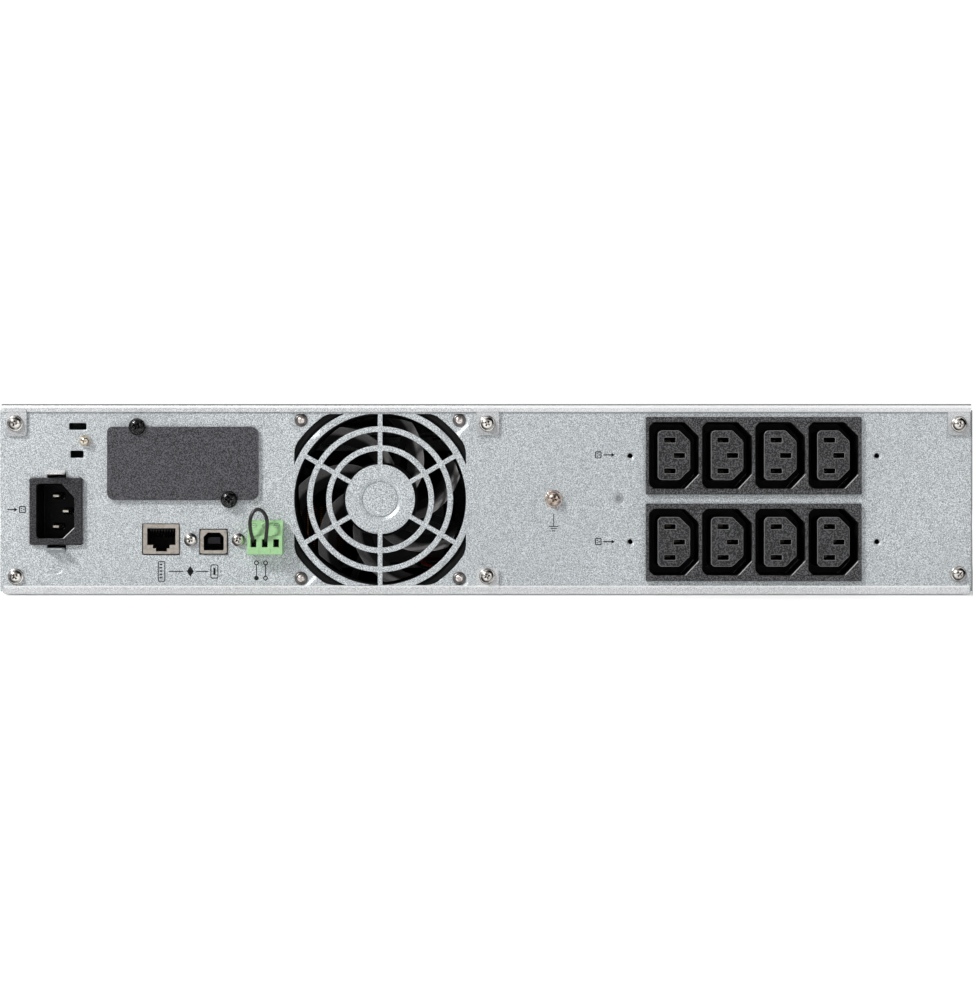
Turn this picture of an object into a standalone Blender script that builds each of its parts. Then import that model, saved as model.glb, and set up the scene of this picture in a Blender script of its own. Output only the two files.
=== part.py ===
"""Two-unit (2U) rackmount uninterruptible power supply, modelled as an assembly of separate parts.

Frame: metres, +Z up, origin at the centre of the flat underside. The connector panel faces -Y, the
bezel and battery drawer face +Y. Left is -X and right is +X, as seen facing the connector panel.
Sizes below are in millimetres and are scaled to metres when each object is placed.
"""
import math

import bmesh
import bpy
from mathutils import Matrix, Vector, geometry

MM = 0.001

# ---- driving dimensions, millimetres ----
WIDTH, HEIGHT = 438.0, 86.1     # body, two rack units less clearance
SIDE = WIDTH / 2                # outer face of a side wall
Y_BACK = -219.0                 # outer face of the rear flanges
Y_SHEET = 190.0                 # front edge of the sheet-metal case
Y_FRONT = 219.0                 # face of the front bezel
SHEET = 1.0                     # sheet thickness
GAP = 0.3                       # clearance left between neighbouring solids
FLANGE = 4.15                   # height of the folded edge at the top and bottom of the rear
COVER_LOW = HEIGHT - SHEET      # underside of the top cover
BASE_TOP = COVER_LOW - GAP      # top of the chassis base
PANEL_OUT = Y_BACK + SHEET + GAP
PANEL_IN = PANEL_OUT + SHEET
BEHIND_PANEL = PANEL_IN + GAP   # where parts behind the rear panel begin

FAN_X, FAN_Z = -48.1, HEIGHT / 2
FAN_Y0 = BEHIND_PANEL
FAN_Y1 = FAN_Y0 + 25.0
ROTOR_Y = -204.0
FAN_HALF = 40.0
FAN_HOLE = 71.5 / 2             # half of the hole spacing of an 80 mm fan
FAN_SCREWS = {
    vertical + "_" + lateral: (FAN_X + x * FAN_HOLE, FAN_Z + z * FAN_HOLE)
    for lateral, x in (("left", -1), ("right", 1)) for vertical, z in (("bottom", -1), ("top", 1))
}

INLET_X, INLET_Z = -194.9, 37.65
INLET_PINS = ((INLET_X - 0.9, INLET_Z + 7.0), (INLET_X - 0.9, INLET_Z - 7.0),
              (INLET_X + 3.3, INLET_Z))
OUTLETS_X = 120.6               # centre of both outlet blocks
OUTLET_X = [OUTLETS_X + 24.0 * (i - 1.5) for i in range(4)]
OUTLETS_Z = {"upper": 62.7, "lower": 23.6}
SOCKET_RISE = 0.2               # socket centres above the block centre

SLOT = (-171.2, -102.7, 42.6, 75.8)      # accessory slot cover: left, right, bottom, top
SLOT_SCREWS = {"left": (-157.6, 75.8), "right": (-116.1, 42.9)}
JACK = (-155.1, -139.0, 18.4, 31.8)      # same order of edges
USB = (-129.3, -117.3, 18.5, 29.3)
PORT_SCREWS = {"left": (-133.7, 24.7), "right": (-112.1, 24.7)}
TERM_X, TERM_Z = -99.5, 25.0
TERM_WAYS = [TERM_X + way * 5.08 for way in (-1, 0, 1)]
TERM_PIN_Z = 23.5
PANEL_SCREWS = {
    "top_left": (-212.8, 77.3), "bottom_left": (-212.8, 8.1),
    "top_middle": (0.4, 77.2), "bottom_middle": (0.3, 8.3),
    "top_right": (213.4, 76.9), "bottom_right": (213.4, 9.2),
}
GROUND = (30.4, 43.2)
STUD = (-181.4, 69.5)

DRAWER_PEGS = ((30.0, 14.0), (30.0, 72.0), (198.0, 14.0), (198.0, 72.0))   # x, z
KEY_X = {"up": -88.0, "down": -66.0, "enter": -44.0}
KEY_Z = 19.0
POWER = (-128.0, 50.0)

EAR_X = 482.6 / 2               # outer edge of the rack panel width
EAR_HOLE_X = 465.1 / 2
EAR_HOLES_Z = (HEIGHT / 2 - 38.1, HEIGHT / 2 + 38.1)
EAR_THICK = 2.0
EAR_SCREW_Y = 158
EAR_SCREWS_Z = {"lower": 20, "upper": 66}


# ---- mesh helpers ----
def link(name, data):
    obj = bpy.data.objects.new(name, data)
    bpy.context.scene.collection.objects.link(obj)
    return obj


def from_bmesh(shape):
    bmesh.ops.recalc_face_normals(shape, faces=shape.faces)
    mesh = bpy.data.meshes.new("part")
    shape.to_mesh(mesh)
    shape.free()
    return link("part", mesh)


def evaluated_mesh(obj):
    bpy.context.view_layer.update()
    depsgraph = bpy.context.evaluated_depsgraph_get()
    return bpy.data.meshes.new_from_object(obj.evaluated_get(depsgraph))


def boxes(*bounds):
    """One object of separate boxes, each (x0, x1, y0, y1, z0, z1)."""
    shape = bmesh.new()
    for x0, x1, y0, y1, z0, z1 in bounds:
        centre = Matrix.Translation(((x0 + x1) / 2, (y0 + y1) / 2, (z0 + z1) / 2))
        size = Matrix.Diagonal((x1 - x0, y1 - y0, z1 - z0, 1))
        bmesh.ops.create_cube(shape, size=1.0, matrix=centre @ size)
    return from_bmesh(shape)


def bar(x, z, half_width, half_height, start, end):
    """Bounds for boxes(): a bar along Y centred on (x, z)."""
    return (x - half_width, x + half_width, start, end, z - half_height, z + half_height)


TURN = {   # takes the drawing plane (u, v) and its normal w to the frame
    "x": Matrix(((0, 0, 1, 0), (1, 0, 0, 0), (0, 1, 0, 0), (0, 0, 0, 1))),   # to y, z, x
    "y": Matrix(((1, 0, 0, 0), (0, 0, 1, 0), (0, 1, 0, 0), (0, 0, 0, 1))),   # to x, z, y
    "z": Matrix.Identity(4),
}
VALID_WITH_HOLES = 5   # triangulation output: faces fit for bmesh, holes left open


def prism(loops, axis, start, end):
    """An outline and its holes, filled and extruded along an axis.

    Outlines are (y, z) for axis x, (x, z) for y and (x, y) for z.
    """
    points, faces = [], []
    for loop in loops:
        faces.append(list(range(len(points), len(points) + len(loop))))
        points += [Vector(p) for p in loop]
    verts, _, polys = geometry.delaunay_2d_cdt(points, [], faces, VALID_WITH_HOLES, 1e-5)[:3]
    shape = bmesh.new()
    corners = [shape.verts.new((v.x, v.y, 0)) for v in verts]
    flat = [shape.faces.new([corners[i] for i in poly]) for poly in polys]
    loose = [v for v in shape.verts if not v.link_faces]
    bmesh.ops.delete(shape, geom=loose, context="VERTS")
    raised = bmesh.ops.extrude_face_region(shape, geom=flat, use_keep_orig=True)["geom"]
    raised_verts = [item for item in raised if isinstance(item, bmesh.types.BMVert)]
    bmesh.ops.translate(shape, vec=(0, 0, end - start), verts=raised_verts)
    shape.transform(TURN[axis] @ Matrix.Translation((0, 0, start)))
    return from_bmesh(shape)


def lathe(profile, axis, centre, steps=12, closed=False):
    """Turns (radius, coordinate along the axis) pairs about an axis through centre."""
    shape = bmesh.new()
    angles = [2 * math.pi * (i + 0.5) / steps for i in range(steps)]
    rings = []
    for radius, height in profile:
        if radius < 1e-6:
            rings.append([shape.verts.new((0, 0, height))] * steps)
        else:
            rings.append([shape.verts.new((radius * math.cos(a), radius * math.sin(a), height))
                          for a in angles])
    pairs = list(zip(rings, rings[1:]))
    if closed:
        pairs.append((rings[-1], rings[0]))
    for ring, following in pairs:
        for i in range(steps):
            j = (i + 1) % steps
            corners = []
            for vert in (ring[i], ring[j], following[j], following[i]):
                if vert not in corners:
                    corners.append(vert)
            if len(corners) > 2:
                shape.faces.new(corners)
    shift = {"x": (0, centre[0], centre[1]), "y": (centre[0], 0, centre[1]),
             "z": (centre[0], centre[1], 0)}[axis]
    shape.transform(Matrix.Translation(shift) @ TURN[axis])
    return from_bmesh(shape)


def cylinder(radius, start, end, axis, centre, steps):
    return lathe([(0, start), (radius, start), (radius, end), (0, end)], axis, centre, steps)


def combine(obj, others, operation):
    for other in others:
        modifier = obj.modifiers.new("boolean", "BOOLEAN")
        modifier.operation = operation
        modifier.solver = "EXACT"
        modifier.object = other
    mesh = evaluated_mesh(obj)
    obj.modifiers.clear()
    obj.data = mesh
    for other in others:
        bpy.data.objects.remove(other)
    return obj


def add(obj, *others):
    return combine(obj, others, "UNION")


def cut(obj, *others):
    return combine(obj, others, "DIFFERENCE")


# ---- outlines ----
def rect(x0, x1, z0, z1):
    return [(x0, z0), (x1, z0), (x1, z1), (x0, z1)]


def centred_rect(x, z, half_width, half_height):
    return rect(x - half_width, x + half_width, z - half_height, z + half_height)


def rounded(x0, x1, z0, z1, radius, steps=3):
    points = []
    for x, z, start in ((x1 - radius, z1 - radius, 0), (x0 + radius, z1 - radius, 90),
                        (x0 + radius, z0 + radius, 180), (x1 - radius, z0 + radius, 270)):
        for i in range(steps + 1):
            angle = math.radians(start + 90 * i / steps)
            points.append((x + radius * math.cos(angle), z + radius * math.sin(angle)))
    return points


def circle(x, z, radius, steps=12):
    angles = [2 * math.pi * (i + 0.5) / steps for i in range(steps)]
    return [(x + radius * math.cos(a), z + radius * math.sin(a)) for a in angles]


def socket_outline(x, z, width, height, chamfer, radius):
    """The outline of a mains connector: rounded at the left, chamfered at both right corners."""
    left, right = x - width / 2, x + width / 2
    low, high = z - height / 2, z + height / 2
    rise = chamfer * 1.1
    points = [(right - chamfer, low), (right, low + rise), (right, high - rise),
              (right - chamfer, high)]
    for corner_z, start in ((high - radius, 90), (low + radius, 180)):
        for i in range(3):
            angle = math.radians(start + 45 * i)
            points.append((left + radius + radius * math.cos(angle),
                           corner_z + radius * math.sin(angle)))
    return points


# ---- materials ----
def material(name, colour, roughness, metallic=0.0):
    made = bpy.data.materials.new(name)
    made.use_nodes = True
    inputs = made.node_tree.nodes["Principled BSDF"].inputs
    inputs["Base Color"].default_value = (*colour, 1)
    inputs["Roughness"].default_value = roughness
    inputs["Metallic"].default_value = metallic
    made.diffuse_color = (*colour, 1)
    return made


ZINC = material("zinc_sheet", colour=(0.60, 0.62, 0.63), roughness=0.42, metallic=0.85)
BRIGHT = material("plated_screw", colour=(0.72, 0.68, 0.62), roughness=0.22, metallic=1.0)
BLACK_SCREW = material("black_screw", colour=(0.012, 0.012, 0.013), roughness=0.3, metallic=0.4)
BLACK = material("black_plastic", colour=(0.045, 0.045, 0.048), roughness=0.55)
FAN_PLASTIC = material("fan_plastic", colour=(0.012, 0.012, 0.013), roughness=0.4)
COVER_PAINT = material("cover_paint", colour=(0.085, 0.083, 0.09), roughness=0.6)
GREEN = material("green_plastic", colour=(0.24, 0.62, 0.27), roughness=0.45)
WIRE = material("wire_jacket", colour=(0.015, 0.015, 0.015), roughness=0.5)
NICKEL = material("nickel_shell", colour=(0.62, 0.58, 0.52), roughness=0.3, metallic=1.0)
BOARD = material("circuit_board", colour=(0.02, 0.14, 0.06), roughness=0.5)
ALUMINIUM = material("aluminium", colour=(0.7, 0.7, 0.72), roughness=0.35, metallic=1.0)
COPPER = material("copper_winding", colour=(0.55, 0.24, 0.1), roughness=0.35, metallic=0.9)
BATTERY_CASE = material("battery_case", colour=(0.06, 0.065, 0.07), roughness=0.5)
BEZEL = material("bezel_plastic", colour=(0.018, 0.018, 0.02), roughness=0.5)
GLASS = material("display_window", colour=(0.02, 0.03, 0.05), roughness=0.08)
KEY_PLASTIC = material("key_plastic", colour=(0.16, 0.16, 0.17), roughness=0.45)
EAR_PAINT = material("ear_paint", colour=(0.02, 0.02, 0.022), roughness=0.5)
CONNECTOR = material("connector_plastic", colour=(0.35, 0.05, 0.04), roughness=0.45)
BRASS = material("brass", colour=(0.72, 0.55, 0.25), roughness=0.3, metallic=1.0)


# ---- placing ----
def carrier(name, at):
    """An empty that carries one moving group, placed on its joint's axis."""
    empty = link("carrier_" + name, None)
    empty.location = Vector(at) * MM
    return empty


def place(name, obj, look, origin=(0, 0, 0), parent=None):
    """Names the finished piece, scales it to metres, and sets its origin and parent."""
    shape = bmesh.new()
    shape.from_mesh(obj.data)
    shape.transform(Matrix.Scale(MM, 4) @ Matrix.Translation(-Vector(origin)))
    bmesh.ops.remove_doubles(shape, verts=shape.verts, dist=1e-7)
    bmesh.ops.recalc_face_normals(shape, faces=shape.faces)
    mesh = bpy.data.meshes.new(name)
    shape.to_mesh(mesh)
    shape.free()
    mesh.shade_smooth()
    mesh.set_sharp_from_angle(angle=math.radians(32))
    mesh.materials.append(look)
    obj.data = mesh
    obj.name = name
    obj.location = Vector(origin) * MM
    if parent:
        obj.parent = parent
        obj.location = Vector(origin) * MM - parent.location


def place_screw(name, spot, head, shank, seat=PANEL_OUT - GAP, origin_y=PANEL_OUT,
                look=BRIGHT, parent=None, steps=10):
    """A pan-head screw along Y whose head stands on seat and points to -Y.

    The head is (radius, height) and the shank is (radius, length).
    """
    radius, height = head
    shank_radius, length = shank
    top = seat - height
    profile = [(0, top), (radius * 0.7, top + 0.05), (radius, top + height * 0.6), (radius, seat),
               (shank_radius, seat), (shank_radius, seat + length), (0, seat + length)]
    obj = lathe(profile, "y", spot, steps)
    place(name, obj, look, (spot[0], origin_y, spot[1]), parent)


# ---- case ----
def chassis_base():
    lip = 7   # width of the in-turned top flanges
    section = [
        (-SIDE, 0), (SIDE, 0), (SIDE, BASE_TOP), (SIDE - lip, BASE_TOP),
        (SIDE - lip, BASE_TOP - SHEET), (SIDE - SHEET, BASE_TOP - SHEET), (SIDE - SHEET, SHEET),
        (-SIDE + SHEET, SHEET), (-SIDE + SHEET, BASE_TOP - SHEET), (-SIDE + lip, BASE_TOP - SHEET),
        (-SIDE + lip, BASE_TOP), (-SIDE, BASE_TOP),
    ]
    base = prism([section], "y", PANEL_OUT, Y_SHEET)
    # Rear lip with a raised tab about the bottom middle screw
    lip_outline = [
        (-SIDE, 0), (SIDE, 0), (SIDE, FLANGE), (5.5, FLANGE), (5.5, 11.4), (5.0, 11.9),
        (-4.1, 11.9), (-4.6, 11.4), (-4.6, FLANGE), (-SIDE, FLANGE),
    ]
    lip_hole = circle(*PANEL_SCREWS["bottom_middle"], 2.3)
    rear_lip = prism([lip_outline, lip_hole], "y", Y_BACK, Y_BACK + SHEET)
    floor_join = boxes((-SIDE, SIDE, Y_BACK, Y_BACK + 4, 0, SHEET))
    corners = []
    for side, x0, x1 in (("left", -SIDE + 0.5, -207.3), ("right", 207.3, SIDE - 0.5)):
        loops = [rect(x0, x1, 1.6, 83.0)]
        loops += [circle(*PANEL_SCREWS[row + side], 2.0) for row in ("top_", "bottom_")]
        corners.append(prism(loops, "y", BEHIND_PANEL, BEHIND_PANEL + SHEET))
    front_loops = [rect(-SIDE + 0.5, 6.6, 0.5, 83.0), rounded(-170, -20, 12, 74, 4)]
    front_plate = prism(front_loops, "y", Y_SHEET - SHEET, Y_SHEET)
    base = add(base, rear_lip, floor_join, *corners, front_plate)

    # Posts under the power board and under the port board
    posts = [cylinder(3.0, 0.5, 9.7, "z", (x, y), 8) for x in (-200, -12) for y in (-140, 150)]
    posts += [cylinder(2.6, 0.5, 16.1, "z", (x, -170), 8) for x in (-155, -94)]
    base = add(base, *posts)

    walls = (-SIDE, SIDE)
    slots = [(x - 2, x + 2, 40 + i * 9, 44 + i * 9, 24, 62) for x in walls for i in range(10)]
    base = cut(base, boxes(*slots))
    base = cut(base, *[cylinder(2.0, x - 3, x + 3, "x", (EAR_SCREW_Y, z), 10)
                       for x in walls for z in EAR_SCREWS_Z.values()])
    place("chassis_base", base, ZINC)


def top_cover():
    brim, overlap = HEIGHT - FLANGE, 85.6
    # Rear edge with three tabs hanging about the top screws
    edge = [
        (-SIDE, overlap), (-SIDE, 71.8), (-208.6, 71.8), (-208.1, 72.3), (-208.1, brim),
        (-4.5, brim), (-4.5, 72.4), (-4.0, 71.9), (5.2, 71.9), (5.7, 72.4), (5.7, brim),
        (208.5, brim), (208.5, 72.9), (209.0, 72.4), (SIDE, 72.4), (SIDE, overlap),
    ]
    holes = [circle(*PANEL_SCREWS["top_" + place_x], 2.3)
             for place_x in ("left", "middle", "right")]
    cover = prism([rect(-SIDE, SIDE, COVER_LOW, HEIGHT)], "y", Y_BACK, Y_SHEET)
    cover = add(cover, prism([edge] + holes, "y", Y_BACK, Y_BACK + SHEET))
    front_lip = (-SIDE + 8, SIDE - 8, Y_SHEET - SHEET - 2.0, Y_SHEET - 2.0, 83.6, overlap)
    cover = add(cover, boxes(front_lip))
    place("top_cover", cover, ZINC)


def fan_arc(radius, middle, half_angle, steps=5):
    """Points on an arc about the fan axis; a negative half angle runs it backwards."""
    angles = [middle + half_angle * (2 * i / steps - 1) for i in range(steps + 1)]
    return [(FAN_X + radius * math.cos(a), FAN_Z + radius * math.sin(a)) for a in angles]


def fan_windows():
    """Openings of the finger guard: three rings of six windows and four corner crescents."""
    loops = []
    half_spoke = 1.05
    for inner, outer in ((15.75, 21.9), (24.4, 30.5), (33.0, 38.85)):
        inner_half = math.radians(30) - math.asin(half_spoke / inner)
        outer_half = math.radians(30) - math.asin(half_spoke / outer)
        for k in range(6):
            middle = math.radians(60 * k)
            loops.append(fan_arc(outer, middle, outer_half) + fan_arc(inner, middle, -inner_half))
    reach = 38.85   # the crescents end on a square of this half width
    inner, outer = 41.8, 44.6
    inner_half = math.pi / 4 - math.acos(reach / inner)
    outer_half = math.pi / 4 - math.acos(reach / outer)
    for k in range(4):
        middle = math.radians(45 + 90 * k)
        loops.append(fan_arc(inner, middle, inner_half) + fan_arc(outer, middle, -outer_half))
    return loops


def port_opening(x0, x1, z0, z1):
    return rect(x0 - GAP, x1 + GAP, z0 - GAP, z1 + GAP)


def rear_panel():
    lance_x0, lance_x1 = -198.7, -190.9
    holes = fan_windows()
    holes += [circle(x, z, 2.2, 8) for x, z in FAN_SCREWS.values()]
    holes += [circle(x, z, 2.2, 8) for x, z in PANEL_SCREWS.values()]
    holes += [centred_rect(INLET_X, INLET_Z, 10.6, 14.35)]
    holes += [rect(lance_x0, lance_x1, 52.9, 54.6), rect(lance_x0, lance_x1, 20.7, 22.3)]
    # Two windows above and below the stud
    holes += [rect(-188.95, -181.2, 74.7, 77.5), rect(-188.1, -182.55, 61.8, 64.9)]
    holes += [circle(*STUD, 1.9, 8)]
    holes += [rect(-167.5, -105.6, 47.5, 71.0)]   # accessory slot
    holes += [circle(x, z, 1.7, 8) for x, z in SLOT_SCREWS.values()]
    holes += [port_opening(*JACK), port_opening(*USB)]
    holes += [circle(x, z, 1.8, 8) for x, z in PORT_SCREWS.values()]
    holes += [rect(TERM_X - 7.2, TERM_X + 7.2, 19.6, 31.0), circle(*GROUND, 2.3, 8)]
    holes += [centred_rect(OUTLETS_X, z, 47.9, 16.5) for z in OUTLETS_Z.values()]
    holes += [circle(x, z, 1.2, 8) for x in (64.6, 176.6) for z in (62.9, 23.8)]
    outline = rect(-SIDE + SHEET + GAP, SIDE - SHEET - GAP, 1.3, 83.5)
    panel = prism([outline] + holes, "y", PANEL_OUT, PANEL_IN)
    # Pierced tabs that stand out above and below the inlet, outlines in (x, y)
    root, tip = PANEL_IN - 0.2, -224.4
    tab = [(lance_x0, root), (lance_x1, root), (lance_x1, tip + 1), (lance_x1 - 1, tip),
           (lance_x0 + 1, tip), (lance_x0, tip + 1)]
    lances = [prism([tab, circle(-194.8, -221.6, 1.2, 8)], "z", z0, z1)
              for z0, z1 in ((54.6, 55.8), (19.5, 20.7))]
    place("rear_panel", add(panel, *lances), ZINC)


def chassis_divider():
    section = [(7.0, 1.3), (8.0, 1.3), (8.0, BASE_TOP), (7.0, BASE_TOP), (7.0, 2.3),
               (-3.0, 2.3), (-3.0, 1.3)]
    divider = prism([section], "y", -215.8, 186.6)
    tab = [rect(-5.5, 7.5, 1.6, 84.0)]
    tab += [circle(*PANEL_SCREWS[row + "middle"], 2.0, 8) for row in ("top_", "bottom_")]
    divider = add(divider, prism(tab, "y", BEHIND_PANEL, BEHIND_PANEL + SHEET))
    divider = cut(divider, boxes((3, 12, -170, -110, 30, 70)))
    place("chassis_divider", divider, ZINC)


def rear_screws():
    for name, spot in PANEL_SCREWS.items():
        # The two lower corner screws seat on the panel, the others on the folded edges.
        face = PANEL_OUT if name in ("bottom_left", "bottom_right") else Y_BACK
        place_screw("case_screw_" + name, spot, head=(3.6, 2.4), shank=(1.7, 9.0),
                    seat=face - GAP, origin_y=face - GAP)
    place_screw("ground_screw", GROUND, head=(4.25, 4.0), shank=(1.95, 11.0), steps=14)
    place_screw("standoff_screw", STUD, head=(2.7, 3.0), shank=(1.6, 8.0))
    for name, spot in FAN_SCREWS.items():
        place_screw("fan_screw_" + name, spot, head=(2.85, 1.6), shank=(1.8, 10.0))
    for name, spot in PORT_SCREWS.items():
        place_screw("port_screw_" + name, spot, head=(3.2, 2.2), shank=(1.45, 8.0))


# ---- fan ----
def fan_lathe(profile, steps, closed=False):
    return lathe(profile, "y", (FAN_X, FAN_Z), steps, closed)


def turned_about_fan(degrees, bounds):
    """A box given relative to the fan axis, turned about it."""
    obj = boxes(bounds)
    turn = Matrix.Rotation(math.radians(degrees), 4, "Y")
    obj.data.transform(Matrix.Translation((FAN_X, 0, FAN_Z)) @ turn)
    return obj


def fan_frame():
    square = rounded(FAN_X - FAN_HALF, FAN_X + FAN_HALF, FAN_Z - FAN_HALF, FAN_Z + FAN_HALF, 4, 2)
    loops = [square, circle(FAN_X, FAN_Z, 38.6, 28)]
    loops += [circle(x, z, 2.15, 8) for x, z in FAN_SCREWS.values()]
    frame = prism(loops, "y", FAN_Y0, FAN_Y1)
    # Between the end flanges only a round duct wall is left
    waist_box = bar(FAN_X, FAN_Z, FAN_HALF + 1, FAN_HALF + 1, FAN_Y0 + 4, FAN_Y1 - 4)
    duct = cylinder(39.6, FAN_Y0, FAN_Y1, "y", (FAN_X, FAN_Z), 28)
    frame = cut(frame, cut(boxes(waist_box), duct))
    struts = [turned_about_fan(20 + 90 * k, (12, 39.2, FAN_Y1 - 2.4, FAN_Y1 - 0.2, -1.6, 1.6))
              for k in range(4)]
    seat = fan_lathe([(3.4, FAN_Y1 - 14), (4.6, FAN_Y1 - 14), (4.6, FAN_Y1 - 2.6),
                      (16, FAN_Y1 - 2.6), (16, FAN_Y1), (3.4, FAN_Y1)], 24, closed=True)
    place("fan_frame", add(frame, seat, *struts), FAN_PLASTIC, (FAN_X, FAN_Y0, FAN_Z))


def fan_bearing():
    start, end = FAN_Y1 - 13.5, FAN_Y1 - 3.0
    sleeve = fan_lathe([(1.55, start), (3.1, start), (3.1, end), (1.55, end)], 20, closed=True)
    place("fan_bearing", sleeve, BRASS, (FAN_X, FAN_Y1 - 8, FAN_Z))


def fan_stator():
    start, end = FAN_Y1 - 12.5, FAN_Y1 - 4.0
    core = fan_lathe([(4.9, start), (7.0, start), (7.0, end), (4.9, end)], 16, closed=True)
    poles = []
    for k in range(4):
        for bounds in ((6.2, 12.6, FAN_Y1 - 10.5, FAN_Y1 - 6.0, -2.2, 2.2),
                       (11.4, 13.2, FAN_Y1 - 11.0, FAN_Y1 - 5.5, -5.6, 5.6)):
            poles.append(turned_about_fan(45 + 90 * k, bounds))
    place("fan_stator", add(core, *poles), COPPER, (FAN_X, FAN_Y1, FAN_Z))


BLADES = 7
BLADE_ROWS = 4      # stations from root to tip
BLADE_COLUMNS = 4   # stations along the chord
BLADE_ROOT, BLADE_TIP = 15.6, 37.6


def blade(number):
    """A twisted, swept and cambered fan blade as a closed plate."""
    shape = bmesh.new()
    grid = {}
    for i in range(BLADE_ROWS):
        span = i / (BLADE_ROWS - 1)
        radius = BLADE_ROOT + span * (BLADE_TIP - BLADE_ROOT)
        pitch = math.radians(52 - 24 * span)
        chord = 15.5 + 9.0 * span
        sweep = math.radians(10 * span * span)
        for j in range(BLADE_COLUMNS):
            along = j / (BLADE_COLUMNS - 1) - 0.5
            arc = chord * along * math.cos(pitch)
            camber = 1.6 * (1 - 4 * along * along)
            middle = (FAN_Y0 + 11.8) + chord * along * math.sin(pitch) * 0.9 + camber
            angle = math.radians(360 / BLADES * number) + sweep + arc / radius
            half_thick = 0.55 * (1 - 1.2 * along * along)
            for side in (-1, 1):
                y = min(max(middle + side * half_thick, FAN_Y0 + 1.2), FAN_Y1 - 4.2)
                grid[i, j, side] = shape.verts.new(
                    (FAN_X + radius * math.cos(angle), y, FAN_Z + radius * math.sin(angle)))

    def face(*corners):
        shape.faces.new([grid[corner] for corner in corners])

    last_i, last_j = BLADE_ROWS - 1, BLADE_COLUMNS - 1
    for i in range(last_i):       # both skins
        for j in range(last_j):
            face((i, j, 1), (i + 1, j, 1), (i + 1, j + 1, 1), (i, j + 1, 1))
            face((i, j, -1), (i, j + 1, -1), (i + 1, j + 1, -1), (i + 1, j, -1))
    for i in range(last_i):       # leading and trailing edges
        face((i, 0, 1), (i, 0, -1), (i + 1, 0, -1), (i + 1, 0, 1))
        face((i, last_j, 1), (i + 1, last_j, 1), (i + 1, last_j, -1), (i, last_j, -1))
    for j in range(last_j):       # root and tip
        face((0, j, 1), (0, j + 1, 1), (0, j + 1, -1), (0, j, -1))
        face((last_i, j, 1), (last_i, j, -1), (last_i, j + 1, -1), (last_i, j + 1, 1))
    return from_bmesh(shape)


def fan_rotor():
    start = FAN_Y0 + 1.6
    hub = fan_lathe([   # a cup open to +Y with a central shaft
        (0, start), (14.6, start), (16.6, start + 1.6), (17.0, FAN_Y1 - 3.6),
        (14.6, FAN_Y1 - 3.6), (14.6, start + 2.4), (2.4, start + 2.4), (1.5, start + 3.2),
        (1.5, FAN_Y1 - 3.4), (0, FAN_Y1 - 3.4),
    ], 22)
    origin = (FAN_X, ROTOR_Y, FAN_Z)
    rotor = add(hub, *[blade(k) for k in range(BLADES)])
    place("fan_rotor", rotor, FAN_PLASTIC, origin, carrier("fan", origin))


# ---- mains inlet ----
def inlet():
    mouth = socket_outline(INLET_X, INLET_Z, 17.0, 24.5, 5.0, 2.4)
    shell_outline = centred_rect(INLET_X, INLET_Z, 10.3, 14.05)
    pin_slots = [centred_rect(x, z, 2.3, 1.3) for x, z in INLET_PINS]
    flange_outline = rounded(-206.4, -182.65, 22.3, 52.6, 1.2, 2)
    flange = prism([flange_outline, mouth], "y", -220.0, -218.0)
    shell = prism([shell_outline, mouth], "y", -218.6, -202.0)
    back = prism([shell_outline] + pin_slots, "y", -203.4, -200.4)
    place("inlet_housing", add(flange, shell, back), BLACK, (INLET_X, PANEL_OUT, INLET_Z))

    base = boxes(bar(INLET_X, INLET_Z, 8.5, 11.5, -200.1, -196.5))
    pins = [boxes(bar(x, z, 2.0, 1.0, -218.2, -188.0)) for x, z in INLET_PINS]
    place("inlet_contacts", add(base, *pins), NICKEL, (INLET_X, -200, INLET_Z))


# ---- outlets ----
def outlet_ways(x, block_z):
    """Centres of the three contact slots of one outlet."""
    middle = block_z + SOCKET_RISE
    return [(x - 2.0, middle - 7), (x - 2.0, middle + 7), (x + 2.0, middle)]


def outlet_block(label, block_z):
    middle = block_z + SOCKET_RISE
    wells = [socket_outline(x, middle, 22.0, 29.8, 5.4, 3.4) for x in OUTLET_X]
    slots = {x: [centred_rect(*way, 2.5, 1.15) for way in outlet_ways(x, block_z)]
             for x in OUTLET_X}
    all_slots = [slot for x in OUTLET_X for slot in slots[x]]
    flange = prism([centred_rect(OUTLETS_X, block_z, 48.7, 17.4)] + wells, "y", -219.9, -218.0)
    shell = prism([centred_rect(OUTLETS_X, block_z, 47.6, 16.2)] + wells, "y", -218.4, -199.0)
    floor = prism([centred_rect(OUTLETS_X, block_z, 47.4, 16.0)] + all_slots, "y", -199.4, -191.0)
    block = add(flange, shell, floor)
    cores = [prism([socket_outline(x, middle, 15.1, 22.4, 4.9, 2.2)] + slots[x],
                   "y", -219.6, -199.2) for x in OUTLET_X]
    place("outlet_block_" + label, add(block, *cores), BLACK, (OUTLETS_X, PANEL_OUT, block_z))


def outlets():
    for label, block_z in OUTLETS_Z.items():
        outlet_block(label, block_z)
    contacts = [bar(*way, 2.0, 0.65, -216.0, -190.0)
                for block_z in OUTLETS_Z.values() for x in OUTLET_X
                for way in outlet_ways(x, block_z)]
    holes = [circle(x, z, 1.8, 8) for x in (70, 172) for z in (9, 77)]
    board = prism([rect(66, 176, 5.0, 81.5)] + holes, "y", -190.6, -189.0)
    relays = [boxes((x, x + 16, -189.4, -172, z, z + 14)) for x in (84, 110, 136) for z in (16, 50)]
    board = add(board, boxes(*contacts), *relays)
    place("outlet_board", board, BOARD, (OUTLETS_X, -189, 43))


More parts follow.
